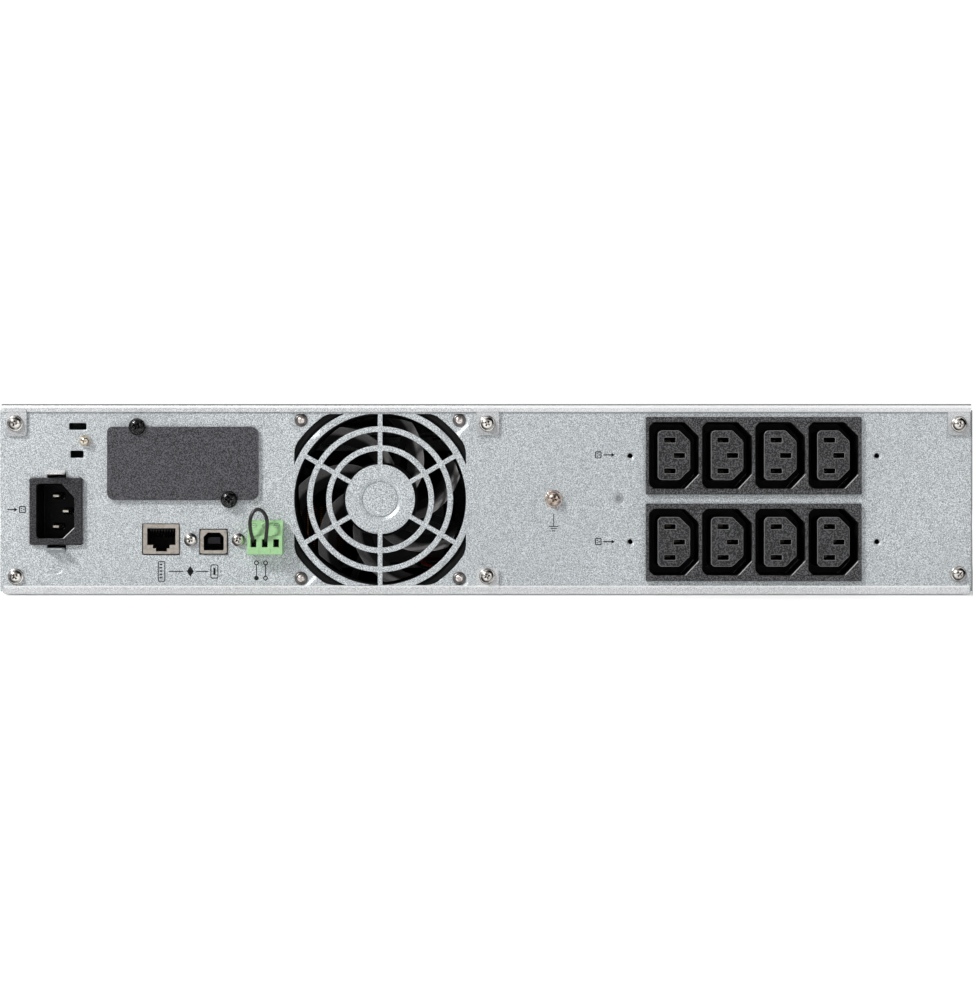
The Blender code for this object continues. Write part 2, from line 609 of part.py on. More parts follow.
# ---- accessory slot ----
def slot_cover():
    face = -219.8
    x0, x1, z0, z1 = SLOT
    hinge = carrier("slot_cover", ((x0 + x1) / 2, PANEL_OUT, (z0 + z1) / 2))
    lid = prism([rounded(*SLOT, 2.8, 3)], "y", face, -218.0)
    lid = cut(lid, *[cylinder(1.9, -222, -216, "y", spot, 12) for spot in SLOT_SCREWS.values()])
    place("slot_cover", lid, COVER_PAINT, (-136.5, PANEL_OUT, 59.2), hinge)
    for name, spot in SLOT_SCREWS.items():
        place_screw("slot_cover_screw_" + name, spot, head=(3.8, 2.6), shank=(1.4, 9.0),
                    seat=face - GAP, look=BLACK_SCREW, parent=hinge)


# ---- communication ports ----
def place_port(name, edges, front, back, cavity, cavity_end):
    """A block with a cavity of the given loops sunk into its -Y face."""
    x0, x1, z0, z1 = edges
    port = cut(boxes((x0, x1, front, back, z0, z1)), prism(cavity, "y", -220, cavity_end))
    place(name, port, NICKEL, ((x0 + x1) / 2, PANEL_OUT, z0))


def ports():
    jack_mouth = [
        (-153.3, 22.45), (-150.7, 22.45), (-150.7, 20.9), (-149.35, 20.9), (-149.35, 19.5),
        (-144.4, 19.5), (-144.4, 20.9), (-143.15, 20.9), (-143.15, 22.45), (-140.5, 22.45),
        (-140.5, 29.95), (-153.3, 29.95),
    ]
    place_port("serial_jack", JACK, -218.3, -199.0, [jack_mouth], -206.0)
    usb_mouth = [(-127.7, 20.05), (-118.7, 20.05), (-118.7, 26.1), (-120.4, 27.95),
                 (-126.0, 27.95), (-127.7, 26.1)]
    usb_tongue = rect(-126.0, -120.4, 22.8, 25.8)
    place_port("usb_jack", USB, -218.5, -202.0, [usb_mouth, usb_tongue], -209.5)


def terminal_header():
    header = cut(boxes(bar(TERM_X, TERM_Z, 8.2, 6.6, BEHIND_PANEL, -204.0)),
                 boxes(bar(TERM_X, TERM_Z, 7.1, 5.4, -218, -206.0)))
    pins = [boxes(bar(x, TERM_PIN_Z, 0.5, 0.5, -213.5, -205.5)) for x in TERM_WAYS]
    place("terminal_header", add(header, *pins), GREEN, (TERM_X, PANEL_IN, TERM_Z))


def terminal_plug():
    origin = (TERM_X, PANEL_OUT, TERM_Z)
    group = carrier("terminal_plug", origin)
    section = [(-225.6, 18.3), (-225.6, 26.9), (-223.8, 27.3), (-221.2, 33.5), (-218.1, 33.5),
               (-218.1, 18.3)]   # y, z
    plug = prism([section], "x", TERM_X - 7.8, TERM_X + 7.8)
    plug = add(plug, boxes(bar(TERM_X, TERM_Z, 6.8, 5.0, -218.6, -207.0)))
    plug = cut(plug, boxes(*[bar(x, 23.55, 1.25, 2.05, -228, -219.5) for x in TERM_WAYS]),
               boxes(*[bar(x, TERM_PIN_Z, 0.9, 0.9, -214.5, -206) for x in TERM_WAYS]))
    place("terminal_plug", plug, GREEN, origin, group)
    place("terminal_jumper", jumper_wire(), WIRE, origin, group)


def jumper_wire():
    """A looped wire from the left way of the plug to the middle one."""
    path = [   # x, y, z of the curve's control points
        (-104.55, -219.9, 23.5), (-104.6, -225.6, 23.8), (-105.0, -228.6, 26.2),
        (-105.8, -229.4, 30.2), (-105.4, -228.8, 35.2), (-102.3, -227.6, 38.6),
        (-98.9, -228.6, 35.4), (-98.2, -229.4, 31.6), (-98.8, -228.6, 26.4),
        (-99.45, -225.6, 23.8), (-99.5, -219.9, 23.5),
    ]
    wire = bpy.data.curves.new("jumper", "CURVE")
    wire.dimensions = "3D"
    wire.bevel_depth = 0.72
    wire.bevel_resolution = 1
    wire.use_fill_caps = True
    spline = wire.splines.new("NURBS")
    spline.points.add(len(path) - 1)
    for point, place_on_path in zip(spline.points, path):
        point.co = (*place_on_path, 1)
    spline.order_u = 4
    spline.use_endpoint_u = True
    spline.resolution_u = 2
    loop = link("jumper", wire)
    mesh = evaluated_mesh(loop)
    bpy.data.objects.remove(loop)
    shape = bmesh.new()
    shape.from_mesh(mesh)
    bmesh.ops.remove_doubles(shape, verts=shape.verts, dist=1e-4)
    return from_bmesh(shape)


# ---- circuit boards and power parts ----
def port_board():
    holes = [circle(x, -166, 1.6, 8) for x in (-155, -94)]
    board = prism([rect(-160.5, -89.2, -215.8, -160.0)] + holes, "z", 16.5, 18.1)
    board = add(board, boxes((-150, -130, -190, -172, 17.8, 21.5)),
                boxes((-118, -104, -186, -174, 17.8, 20.5)))
    place("port_board", board, BOARD, (-125, -190, 17))


def power_board():
    holes = [circle(x, y, 1.7, 8) for x in (-200, -12) for y in (-146, 156)]
    board = prism([rect(-208, -5, -152, 168)] + holes, "z", 10.0, 11.6)
    blocks = ((-60, -20, -140, -105, 11.2, 42), (-110, -82, 90, 150, 11.2, 34),
              (-40, -18, 20, 44, 11.2, 30), (-205, -190, 100, 150, 11.2, 26))
    board = add(board, *[boxes(bounds) for bounds in blocks])
    place("power_board", board, BOARD, (-106, 8, 11))


def heat_sink():
    foot, root, tip = 12.2, 20.0, 62.0   # heights of the base underside, fin roots and tips
    left, pitch, thick, fins = -190.0, 6.5, 2.0, 9
    comb = []
    for i in range(fins):
        x = left + i * pitch
        comb += [(x, root), (x, tip), (x + thick, tip), (x + thick, root)]
    right = left + (fins - 1) * pitch + thick
    outline = [(left, foot)] + comb[1:-1] + [(right, foot)]
    place("heat_sink", prism([outline], "y", -130, 70), ALUMINIUM, (-163, -30, 12))


def filter_choke():
    profile = [(9.0, 12.0), (21.0, 12.0), (24.0, 15.0), (24.0, 37.0), (21.0, 40.0),
               (12.0, 40.0), (9.0, 37.0)]
    choke = lathe(profile, "z", (-98, -70), 24, closed=True)
    place("filter_choke", choke, COPPER, (-98, -70, 12))


def bus_capacitor():
    profile = [(0, 12.0), (14.6, 12.0), (15.0, 12.6), (15.0, 15.0), (14.3, 15.8), (15.0, 16.6),
               (15.0, 56.5), (14.2, 57.4), (0, 57.4)]
    place("bus_capacitor", lathe(profile, "z", (-60, -30), 20), BATTERY_CASE, (-60, -30, 12))


# ---- battery drawer ----
def battery_tray(drawer):
    x0, x1, floor, rim, thick = 11.0, 215.5, 2.0, 34.0, 1.2
    back, front = -68.0, 189.4
    section = [(x0, floor), (x1, floor), (x1, rim), (x1 - thick, rim), (x1 - thick, floor + thick),
               (x0 + thick, floor + thick), (x0 + thick, rim), (x0, rim)]
    tray = prism([section], "y", back, front)
    handle_slot = rounded(84, 142, 72, 77, 2.4, 2)
    holes = [circle(x, z, 2.6, 8) for x, z in DRAWER_PEGS]
    face = prism([rect(x0, x1, floor, 80.0), handle_slot] + holes, "y", 188.0, front)
    rear = prism([rect(x0, x1, floor, 60.0)], "y", back, back + thick)
    place("battery_tray", add(tray, face, rear), ZINC, (113, Y_SHEET, 2), drawer)


def battery(x, y, lengthwise):
    """A battery with its low corner at (x, y), its length along Y if lengthwise, else along X.

    The terminals stand on the +X side if lengthwise, else on the -Y side.
    """
    length, width = 151.0, 94.0
    size_x, size_y = (width, length) if lengthwise else (length, width)
    case = boxes((x, x + size_x, y, y + size_y, 3.6, 68.6))
    terminals = []
    for offset in (14, 136):
        if lengthwise:
            spans = (x + size_x - 0.4, x + size_x + 4.0, y + offset, y + offset + 0.9)
        else:
            spans = (x + offset, x + offset + 0.9, y - 4.0, y + 0.4)
        terminals.append(boxes((*spans, 30, 36.5)))
    return add(case, *terminals)


def battery_plug(drawer):
    plug = add(boxes((176, 204, -73.0, -68.3, 24, 44)), boxes((180, 200, -82.0, -72.6, 27, 41)))
    plug = cut(plug, boxes((182.5, 188, -84, -76, 29.5, 38.5), (192, 197.5, -84, -76, 29.5, 38.5)))
    place("battery_plug", plug, CONNECTOR, (190, -68, 34), drawer)


def battery_socket():
    socket = cut(boxes((176, 204, -90.0, -73.4, 23, 45)),
                 boxes((179.6, 200.4, -86.0, -70, 26.6, 41.4)))
    parts = ((183.2, 187.3, -86.6, -77.5, 30.2, 37.8), (192.7, 196.8, -86.6, -77.5, 30.2, 37.8),
             (182, 198, -96, -86.5, 1.3, 40), (176, 204, -100, -88, 1.3, 3.0))
    socket = add(socket, *[boxes(bounds) for bounds in parts])   # two pins, a post and its foot
    place("battery_socket", socket, CONNECTOR, (190, -90, 2))


def battery_drawer():
    drawer = carrier("battery_drawer", (113.0, Y_SHEET, 40.0))
    battery_tray(drawer)
    for name, x, y, lengthwise, origin in (
            ("front_left", 14.0, 35.5, True, (61, 111, 4)),
            ("front_right", 113.0, 35.5, True, (160, 111, 4)),
            ("rear", 14.0, -60.0, False, (90, -13, 4))):
        place("battery_" + name, battery(x, y, lengthwise), BATTERY_CASE, origin, drawer)
    battery_plug(drawer)


# ---- front ----
def hood(x0, x1, openings):
    """A moulded front half: a front wall with openings and a rim that runs back to the case."""
    wall = prism([rounded(x0, x1, 0.5, 85.6, 2.0, 2)] + openings, "y", Y_FRONT - 2.6, Y_FRONT)
    rim_loops = [rounded(x0 + 0.15, x1 - 0.15, 0.65, 85.45, 1.9, 2),
                 rounded(x0 + 2.2, x1 - 2.2, 2.7, 83.4, 1.0, 2)]
    return add(wall, prism(rim_loops, "y", Y_SHEET + GAP, Y_FRONT - 2.2))


def vents(*spans):
    """Seven rows of vents, each with one opening per (x0, x1) span."""
    return [rounded(x0, x1, 16 + 9 * row, 20 + 9 * row, 1.9, 1)
            for row in range(7) for x0, x1 in spans]


def front_bezel():
    openings = vents((-206, -152))
    openings += [rounded(-102, -30, 30.5, 71.5, 2.0, 2), circle(*POWER, 7.4, 20)]
    openings += [rounded(x - 7.3, x + 7.3, KEY_Z - 3.8, KEY_Z + 3.8, 2.0, 2)
                 for x in KEY_X.values()]
    place("front_bezel", hood(-218.7, 9.6, openings), BEZEL, (-105, Y_FRONT, 43))


def battery_cover():
    lid = hood(10.2, 218.7, vents((24, 106), (118, 200)))
    peg = [(0, 187.0), (1.9, 187.0), (2.2, 187.6), (2.2, 190.2), (4.0, 190.2), (4.0, 217.0),
           (0, 217.0)]
    lid = add(lid, *[lathe(peg, "y", spot, 10) for spot in DRAWER_PEGS])
    origin = (114.0, Y_FRONT, 43.0)
    place("battery_cover", lid, BEZEL, origin, carrier("battery_cover", origin))


def display():
    window = prism([rounded(-101.6, -30.4, 30.9, 71.1, 1.8, 3)], "y", 214.2, 218.4)
    window = add(window, boxes((-104.5, -27.5, 213.0, 216.1, 28.0, 74.0)))
    place("display_window", window, GLASS, (-66, Y_FRONT, 51))
    switch_spots = [(x, KEY_Z) for x in KEY_X.values()] + [POWER]
    switches = [boxes(bar(x, z, 3, 3, 203.8, 206.0)) for x, z in switch_spots]
    module = add(boxes((-146, -20, 202.6, 204.2, 8.5, 78)),
                 boxes((-102, -30, 203.8, 212.6, 30.5, 73.0)), *switches)
    place("display_module", module, BOARD, (-66, 203, 45))


def keys():
    for name, x in KEY_X.items():
        cap_outline = rounded(x - 7.0, x + 7.0, KEY_Z - 3.5, KEY_Z + 3.5, 1.8, 3)
        skirt_outline = rounded(x - 8.4, x + 8.4, KEY_Z - 4.9, KEY_Z + 4.9, 1.8, 2)
        key = add(prism([cap_outline], "y", 211.0, 220.2),
                  prism([skirt_outline], "y", 213.6, 216.1),
                  boxes(bar(x, KEY_Z, 1.5, 1.5, 207.8, 212.0)))
        origin = (x, Y_FRONT, KEY_Z)
        place(name + "_key", key, KEY_PLASTIC, origin, carrier("key_" + name, origin))
    profile = [(0, 207.8), (2.0, 207.8), (2.0, 211.0), (7.0, 211.0), (7.0, 213.6), (8.8, 213.6),
               (8.8, 216.1), (7.0, 216.1), (7.0, 219.8), (6.6, 220.2), (0, 220.2)]
    origin = (POWER[0], Y_FRONT, POWER[1])
    key = lathe(profile, "y", POWER, 20)
    place("power_key", key, KEY_PLASTIC, origin, carrier("key_power", origin))


# ---- rack ears ----
def rack_ear(name, side):
    """One ear and its two screws; side is -1 for left and 1 for right."""
    near, far = side * (SIDE + GAP), side * (SIDE + GAP + EAR_THICK)
    x0, x1 = sorted((near, far))
    wing_x0, wing_x1 = sorted((near, side * EAR_X))
    hole_x = side * EAR_HOLE_X
    loops = [rounded(wing_x0, wing_x1, 0.3, HEIGHT - 0.3, 1.4, 2)]
    loops += [rounded(hole_x - 5.2, hole_x + 5.2, z - 3.35, z + 3.35, 3.3, 4)
              for z in EAR_HOLES_Z]
    wing = prism(loops, "y", Y_SHEET - EAR_THICK, Y_SHEET)
    leg_loops = [rounded(110, 189.0, 8.0, 78.0, 5, 3)]
    leg_loops += [circle(EAR_SCREW_Y, z, 2.3, 10) for z in EAR_SCREWS_Z.values()]
    leg = prism(leg_loops, "x", x0, x1)
    neck = boxes((x0, x1, 186, 189.5, 4, 82))
    place("rack_ear_" + name, add(wing, leg, neck), EAR_PAINT, (side * SIDE, Y_SHEET, 43))

    seat = far + side * GAP
    profile = [(radius, seat + side * out) for radius, out in (
        (0, 2.0), (2.4, 1.95), (3.6, 1.2), (3.8, 0), (1.7, 0), (1.7, -4.4), (0, -4.4))]
    for label, z in EAR_SCREWS_Z.items():
        screw = lathe(profile, "x", (EAR_SCREW_Y, z), 12)
        place("ear_screw_" + name + "_" + label, screw, BRIGHT, (seat, EAR_SCREW_Y, z))


for old in list(bpy.data.objects):
    bpy.data.objects.remove(old, do_unlink=True)

for build in (
        chassis_base, top_cover, rear_panel, chassis_divider, rear_screws,
        fan_frame, fan_bearing, fan_stator, fan_rotor,
        inlet, outlets, slot_cover, ports, terminal_header, terminal_plug,
        port_board, power_board, heat_sink, filter_choke, bus_capacitor,
        battery_drawer, battery_socket, front_bezel, battery_cover, display, keys):
    build()
rack_ear("left", -1)
rack_ear("right", 1)
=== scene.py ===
"""Looks of a two-unit rackmount UPS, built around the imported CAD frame. Sizes below are millimetres unless a name says otherwise."""
import math
import random

import bmesh
import bpy
from mathutils import Matrix, Vector, geometry


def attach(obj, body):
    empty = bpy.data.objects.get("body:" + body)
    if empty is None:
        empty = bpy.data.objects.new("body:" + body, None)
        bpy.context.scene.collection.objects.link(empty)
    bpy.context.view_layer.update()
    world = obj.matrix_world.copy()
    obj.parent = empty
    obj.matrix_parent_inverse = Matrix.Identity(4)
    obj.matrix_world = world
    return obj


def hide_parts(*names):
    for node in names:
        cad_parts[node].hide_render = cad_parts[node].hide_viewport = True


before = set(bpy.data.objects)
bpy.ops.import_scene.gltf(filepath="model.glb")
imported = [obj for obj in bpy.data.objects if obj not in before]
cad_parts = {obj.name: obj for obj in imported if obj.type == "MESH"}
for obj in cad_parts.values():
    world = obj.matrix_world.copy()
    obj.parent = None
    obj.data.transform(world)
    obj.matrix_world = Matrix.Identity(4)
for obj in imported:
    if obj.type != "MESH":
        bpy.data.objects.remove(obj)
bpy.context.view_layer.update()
MM = 0.001
random.seed(7)

W, H = 438.0, 86.1
Y_BACK, Y_SHEET, Y_FRONT = -219.0, 190.0, 219.0
FLANGE = 4.15
P_OUT, P_IN = -217.7, -216.7
FAN_X, FAN_Z, FAN_HOLE = -48.1, 43.05, 35.75
FAN_Y0, FAN_Y1 = -216.4, -191.4
INLET_X, INLET_Z = -194.9, 37.65
OUT_X, OUT_Z = (84.6, 108.6, 132.6, 156.6), (62.7, 23.6)
SLOT = (-171.2, -102.7, 42.6, 75.8)
SLOT_SCREWS = ((-157.6, 75.8), (-116.1, 42.9))
JACK, USB = (-155.1, -139.0, 18.4, 31.8), (-129.3, -117.3, 18.5, 29.3)
COMM_SCREWS = ((-133.7, 24.7), (-112.1, 24.7))
TERM_X, PITCH = -99.5, 5.08
PANEL_SCREWS = ((-212.8, 77.3), (-212.8, 8.1), (0.4, 77.2), (0.3, 8.3), (213.4, 76.9), (213.4, 9.2))
GROUND, STUD = (30.4, 43.2), (-181.4, 69.5)
EAR_X, EAR_HOLE_X, EAR_Z = 241.3, 232.55, (4.95, 81.15)
KEYS, KEY_Z, POWER = {"up": -88.0, "down": -66.0, "enter": -44.0}, 19.0, (-128.0, 50.0)
PEGS = ((30.0, 14.0), (30.0, 72.0), (198.0, 14.0), (198.0, 72.0))

# =====================================================================================================
# geometry helpers
# =====================================================================================================
TURN = {
    "x": Matrix(((0, 0, 1, 0), (1, 0, 0, 0), (0, 1, 0, 0), (0, 0, 0, 1))),
    "y": Matrix(((1, 0, 0, 0), (0, 0, 1, 0), (0, 1, 0, 0), (0, 0, 0, 1))),
    "z": Matrix.Identity(4),
}


def link(name, data):
    o = bpy.data.objects.new(name, data)
    bpy.context.scene.collection.objects.link(o)
    return o


def from_bm(bm, name="tmp"):
    bmesh.ops.recalc_face_normals(bm, faces=bm.faces)
    mesh = bpy.data.meshes.new(name)
    bm.to_mesh(mesh)
    bm.free()
    return link(name, mesh)


def boxes(*specs):
    bm = bmesh.new()
    for x0, x1, y0, y1, z0, z1 in specs:
        m = Matrix.Translation(((x0 + x1) / 2, (y0 + y1) / 2, (z0 + z1) / 2)) @ Matrix.Diagonal((x1 - x0, y1 - y0, z1 - z0, 1))
        bmesh.ops.create_cube(bm, size=1.0, matrix=m)
    return from_bm(bm)


def prism(loops, axis, lo, hi):
    """Outline plus holes, extruded. Outlines are (x, z) for y, (y, z) for x, (x, y) for z."""
    points, faces = [], []
    for loop in loops:
        faces.append(list(range(len(points), len(points) + len(loop))))
        points += [Vector(p) for p in loop]
    verts, _, polys = geometry.delaunay_2d_cdt(points, [], faces, 5, 1e-5)[:3]
    bm = bmesh.new()
    vs = [bm.verts.new((v.x, v.y, 0)) for v in verts]
    flat = [bm.faces.new([vs[i] for i in poly]) for poly in polys]
    bmesh.ops.delete(bm, geom=[v for v in bm.verts if not v.link_faces], context="VERTS")
    raised = bmesh.ops.extrude_face_region(bm, geom=flat, use_keep_orig=True)["geom"]
    bmesh.ops.translate(bm, vec=(0, 0, hi - lo), verts=[g for g in raised if isinstance(g, bmesh.types.BMVert)])
    bmesh.ops.dissolve_limit(bm, angle_limit=0.002, verts=bm.verts, edges=bm.edges)
    bm.transform(TURN[axis] @ Matrix.Translation((0, 0, lo)))
    return from_bm(bm)


def lathe(profile, axis, centre, steps=48, closed=False, wobble=None):
    """(radius, height) pairs turned about an axis; wobble(angle, radius) may change a radius."""
    bm = bmesh.new()
    rings = []
    for r, h in profile:
        if r < 1e-6:
            rings.append([bm.verts.new((0, 0, h))] * steps)
        else:
            ring = []
            for i in range(steps):
                a = 2 * math.pi * (i + 0.5) / steps
                q = wobble(a, r) if wobble else r
                ring.append(bm.verts.new((q * math.cos(a), q * math.sin(a), h)))
            rings.append(ring)
    pairs = list(zip(rings, rings[1:])) + ([(rings[-1], rings[0])] if closed else [])
    for a, b in pairs:
        for i in range(steps):
            j = (i + 1) % steps
            corners = []
            for v in (a[i], a[j], b[j], b[i]):
                if v not in corners:
                    corners.append(v)
            if len(corners) > 2:
                bm.faces.new(corners)
    shift = {"x": (0, centre[0], centre[1]), "y": (centre[0], 0, centre[1]), "z": (centre[0], centre[1], 0)}[axis]
    bm.transform(Matrix.Translation(shift) @ TURN[axis])
    return from_bm(bm)


def loft(rings):
    """Closed body through rings of equal point counts, each a list of (x, y, z)."""
    bm = bmesh.new()
    vs = [[bm.verts.new(p) for p in ring] for ring in rings]
    n = len(vs[0])
    for a, b in zip(vs, vs[1:]):
        for i in range(n):
            bm.faces.new((a[i], a[(i + 1) % n], b[(i + 1) % n], b[i]))
    bm.faces.new(vs[0])
    bm.faces.new(vs[-1])
    return from_bm(bm)


def bake(o):
    bpy.context.view_layer.update()
    mesh = bpy.data.meshes.new_from_object(o.evaluated_get(bpy.context.evaluated_depsgraph_get()))
    o.modifiers.clear()
    o.data = mesh
    return o


def combine(o, others, operation):
    for other in others:
        m = o.modifiers.new("b", "BOOLEAN")
        m.operation, m.solver, m.object = operation, "EXACT", other
    bake(o)
    for other in others:
        bpy.data.objects.remove(other)
    return o


def add(o, *others):
    return combine(o, others, "UNION")


def cut(o, *others):
    return combine(o, others, "DIFFERENCE")


def common(o, *others):
    return combine(o, others, "INTERSECT")


def merge(*objs):
    """Several closed bodies in one mesh."""
    bm = bmesh.new()
    for o in objs:
        bm.from_mesh(o.data)
    mesh = bpy.data.meshes.new("merged")
    bm.to_mesh(mesh)
    bm.free()
    for o in objs:
        bpy.data.objects.remove(o)
    return link("merged", mesh)


def turned(o, matrix):
    o.data.transform(matrix)
    return o


def rect(x0, x1, z0, z1):
    return [(x0, z0), (x1, z0), (x1, z1), (x0, z1)]


def rounded(x0, x1, z0, z1, r, n=6):
    rs = r if isinstance(r, (list, tuple)) else (r, r, r, r)
    pts = []
    for q, cx, cz, a0 in ((rs[0], x1, z1, 0), (rs[1], x0, z1, 90), (rs[2], x0, z0, 180), (rs[3], x1, z0, 270)):
        ox, oz = (cx - q if cx == x1 else cx + q), (cz - q if cz == z1 else cz + q)
        for i in range(n + 1):
            a = math.radians(a0 + 90 * i / n)
            pts.append((ox + q * math.cos(a), oz + q * math.sin(a)))
    return pts


def circle(cx, cz, r, n=32):
    return [(cx + r * math.cos(2 * math.pi * (i + 0.5) / n), cz + r * math.sin(2 * math.pi * (i + 0.5) / n)) for i in range(n)]


def arc(cx, cz, r, a0, a1, n=8):
    return [(cx + r * math.cos(math.radians(a0 + (a1 - a0) * i / n)), cz + r * math.sin(math.radians(a0 + (a1 - a0) * i / n))) for i in range(n + 1)]


def stadium(cx, cz, half, r, angle, n=10):
    """A slot with round ends; half is the distance between the end centres over two."""
    pts = [(half + r * math.cos(math.radians(-90 + 180 * i / n)), r * math.sin(math.radians(-90 + 180 * i / n))) for i in range(n + 1)]
    pts += [(-half + r * math.cos(math.radians(90 + 180 * i / n)), r * math.sin(math.radians(90 + 180 * i / n))) for i in range(n + 1)]
    c, s = math.cos(math.radians(angle)), math.sin(math.radians(angle))
    return [(cx + x * c - z * s, cz + x * s + z * c) for x, z in pts]


def soften(points, r, n=4):
    """Rounds every corner of a polygon with radius r."""
    out = []
    k = len(points)
    for i in range(k):
        p, a, b = Vector(points[i]), Vector(points[i - 1]), Vector(points[(i + 1) % k])
        u, v = (a - p), (b - p)
        half = u.angle(v) / 2
        d = min(r / math.tan(half), u.length * 0.48, v.length * 0.48)
        rr = d * math.tan(half)
        p0, p1 = p + u.normalized() * d, p + v.normalized() * d
        centre = p + (u.normalized() + v.normalized()).normalized() * math.hypot(d, rr)
        a0 = math.atan2(p0.y - centre.y, p0.x - centre.x)
        a1 = math.atan2(p1.y - centre.y, p1.x - centre.x)
        while a1 - a0 > math.pi:
            a1 -= 2 * math.pi
        while a1 - a0 < -math.pi:
            a1 += 2 * math.pi
        out += [(centre.x + rr * math.cos(a0 + (a1 - a0) * j / n), centre.y + rr * math.sin(a0 + (a1 - a0) * j / n)) for j in range(n + 1)]
    return out


def dish(outline, y_top, depth, width, n=5, straight=False):
    """A cutter for a pressed recess: outline(inset) gives the edge; the wall starts gently and ends in a crease, width wide and depth deep, or is one even slope."""
    rings = [[(x, y_top - 1.0, z) for x, z in outline(-0.02)]]
    for i in range(n + 1):
        t = i / n
        y = y_top + depth * (t if straight else (1 - math.cos(math.pi / 2 * t)) ** 0.9)
        rings.append([(x, y, z) for x, z in outline(width * t)])
    return loft(rings)


# =====================================================================================================
# materials
# =====================================================================================================
class Mat:
    def __init__(self, name, rough=0.5, metal=0.0, spec=0.5, coat=0.0):
        self.m = bpy.data.materials.new(name)
        self.m.use_nodes = True
        self.t = self.m.node_tree
        self.b = self.t.nodes["Principled BSDF"]
        self.b.inputs["Roughness"].default_value = rough
        self.b.inputs["Metallic"].default_value = metal
        self.b.inputs["Specular IOR Level"].default_value = spec
        self.b.inputs["Coat Weight"].default_value = coat
        self.co = self.t.nodes.new("ShaderNodeTexCoord").outputs["Object"]
        self.normal = None

    def n(self, kind, **values):
        node = self.t.nodes.new(kind)
        for k, v in values.items():
            if hasattr(node, k) and k not in node.inputs:
                setattr(node, k, v)
            else:
                node.inputs[k.replace("_", " ")].default_value = v
        return node

    def l(self, a, b):
        self.t.links.new(a, b)

    def stretch(self, sx, sy, sz):
        node = self.n("ShaderNodeMapping")
        node.inputs["Scale"].default_value = (sx, sy, sz)
        self.l(self.co, node.inputs["Vector"])
        return node.outputs["Vector"]

    def noise(self, scale, detail=3.0, rough=0.55, vec=None, distortion=0.0):
        node = self.n("ShaderNodeTexNoise")
        node.inputs["Scale"].default_value = scale
        node.inputs["Detail"].default_value = detail
        node.inputs["Roughness"].default_value = rough
        node.inputs["Distortion"].default_value = distortion
        self.l(vec or self.co, node.inputs["Vector"])
        return node.outputs["Fac"]

    def cells(self, scale, vec=None, feature="F1", out="Color"):
        node = self.n("ShaderNodeTexVoronoi")
        node.feature = feature
        node.inputs["Scale"].default_value = scale
        self.l(vec or self.co, node.inputs["Vector"])
        return node.outputs[out]

    def ramp(self, fac, *stops):
        node = self.n("ShaderNodeValToRGB")
        el = node.color_ramp.elements
        while len(el) > len(stops):
            el.remove(el[-1])
        while len(el) < len(stops):
            el.new(0.5)
        for e, (p, c) in zip(el, stops):
            e.position = p
            e.color = (*c, 1) if isinstance(c, (tuple, list)) else (c, c, c, 1)
        self.l(fac, node.inputs["Fac"])
        return node.outputs["Color"]

    def mix(self, fac, a, b, mode="MIX"):
        node = self.n("ShaderNodeMix")
        node.data_type, node.blend_type = "RGBA", mode
        for sock, v in ((node.inputs["Factor"], fac), (node.inputs[6], a), (node.inputs[7], b)):
            if isinstance(v, (int, float)):
                sock.default_value = v if sock.name == "Factor" else (v, v, v, 1)
            elif isinstance(v, (tuple, list)):
                sock.default_value = (*v, 1)
            else:
                self.l(v, sock)
        return node.outputs[2]

    def to_value(self, fac, lo, hi, f0=0.0, f1=1.0):
        node = self.n("ShaderNodeMapRange")
        node.inputs["From Min"].default_value, node.inputs["From Max"].default_value = f0, f1
        node.inputs["To Min"].default_value, node.inputs["To Max"].default_value = lo, hi
        self.l(fac, node.inputs["Value"])
        return node.outputs["Result"]

    def colour(self, socket):
        self.l(socket, self.b.inputs["Base Color"])

    def rough(self, socket):
        self.l(socket, self.b.inputs["Roughness"])

    def bump(self, height, strength, distance_mm):
        node = self.n("ShaderNodeBump")
        node.inputs["Strength"].default_value = strength
        node.inputs["Distance"].default_value = distance_mm * MM
        self.l(height, node.inputs["Height"])
        if self.normal:
            self.l(self.normal, node.inputs["Normal"])
        self.normal = node.outputs["Normal"]
        self.l(self.normal, self.b.inputs["Normal"])

    def dot(self, direction):
        geo = self.n("ShaderNodeNewGeometry")
        dot = self.n("ShaderNodeVectorMath", operation="DOT_PRODUCT")
        self.l(geo.outputs["Normal"], dot.inputs[0])
        dot.inputs[1].default_value = direction
        return dot.outputs["Value"]

    def facing(self, direction, stops):
        """A grey ramp of how far the surface faces one direction, 0 to 1."""
        return self.ramp(self.to_value(self.dot(direction), 0.0, 1.0), *stops)

    def mix_lit_worn_edges(self, base, lit_worn_colour, size_mm=0.35, amount=0.6):
        """Lighter edges, partly rubbed wear and partly a painted highlight, from the difference between the true and
        the bevelled normal.
        """
        bev = self.n("ShaderNodeBevel", samples=4)
        bev.inputs["Radius"].default_value = size_mm * MM
        geo = self.n("ShaderNodeNewGeometry")
        dot = self.n("ShaderNodeVectorMath", operation="DOT_PRODUCT")
        self.l(bev.outputs["Normal"], dot.inputs[0])
        self.l(geo.outputs["Normal"], dot.inputs[1])
        fac = self.to_value(dot.outputs["Value"], amount, 0.0, 0.86, 0.99)
        return self.mix(fac, base, lit_worn_colour)


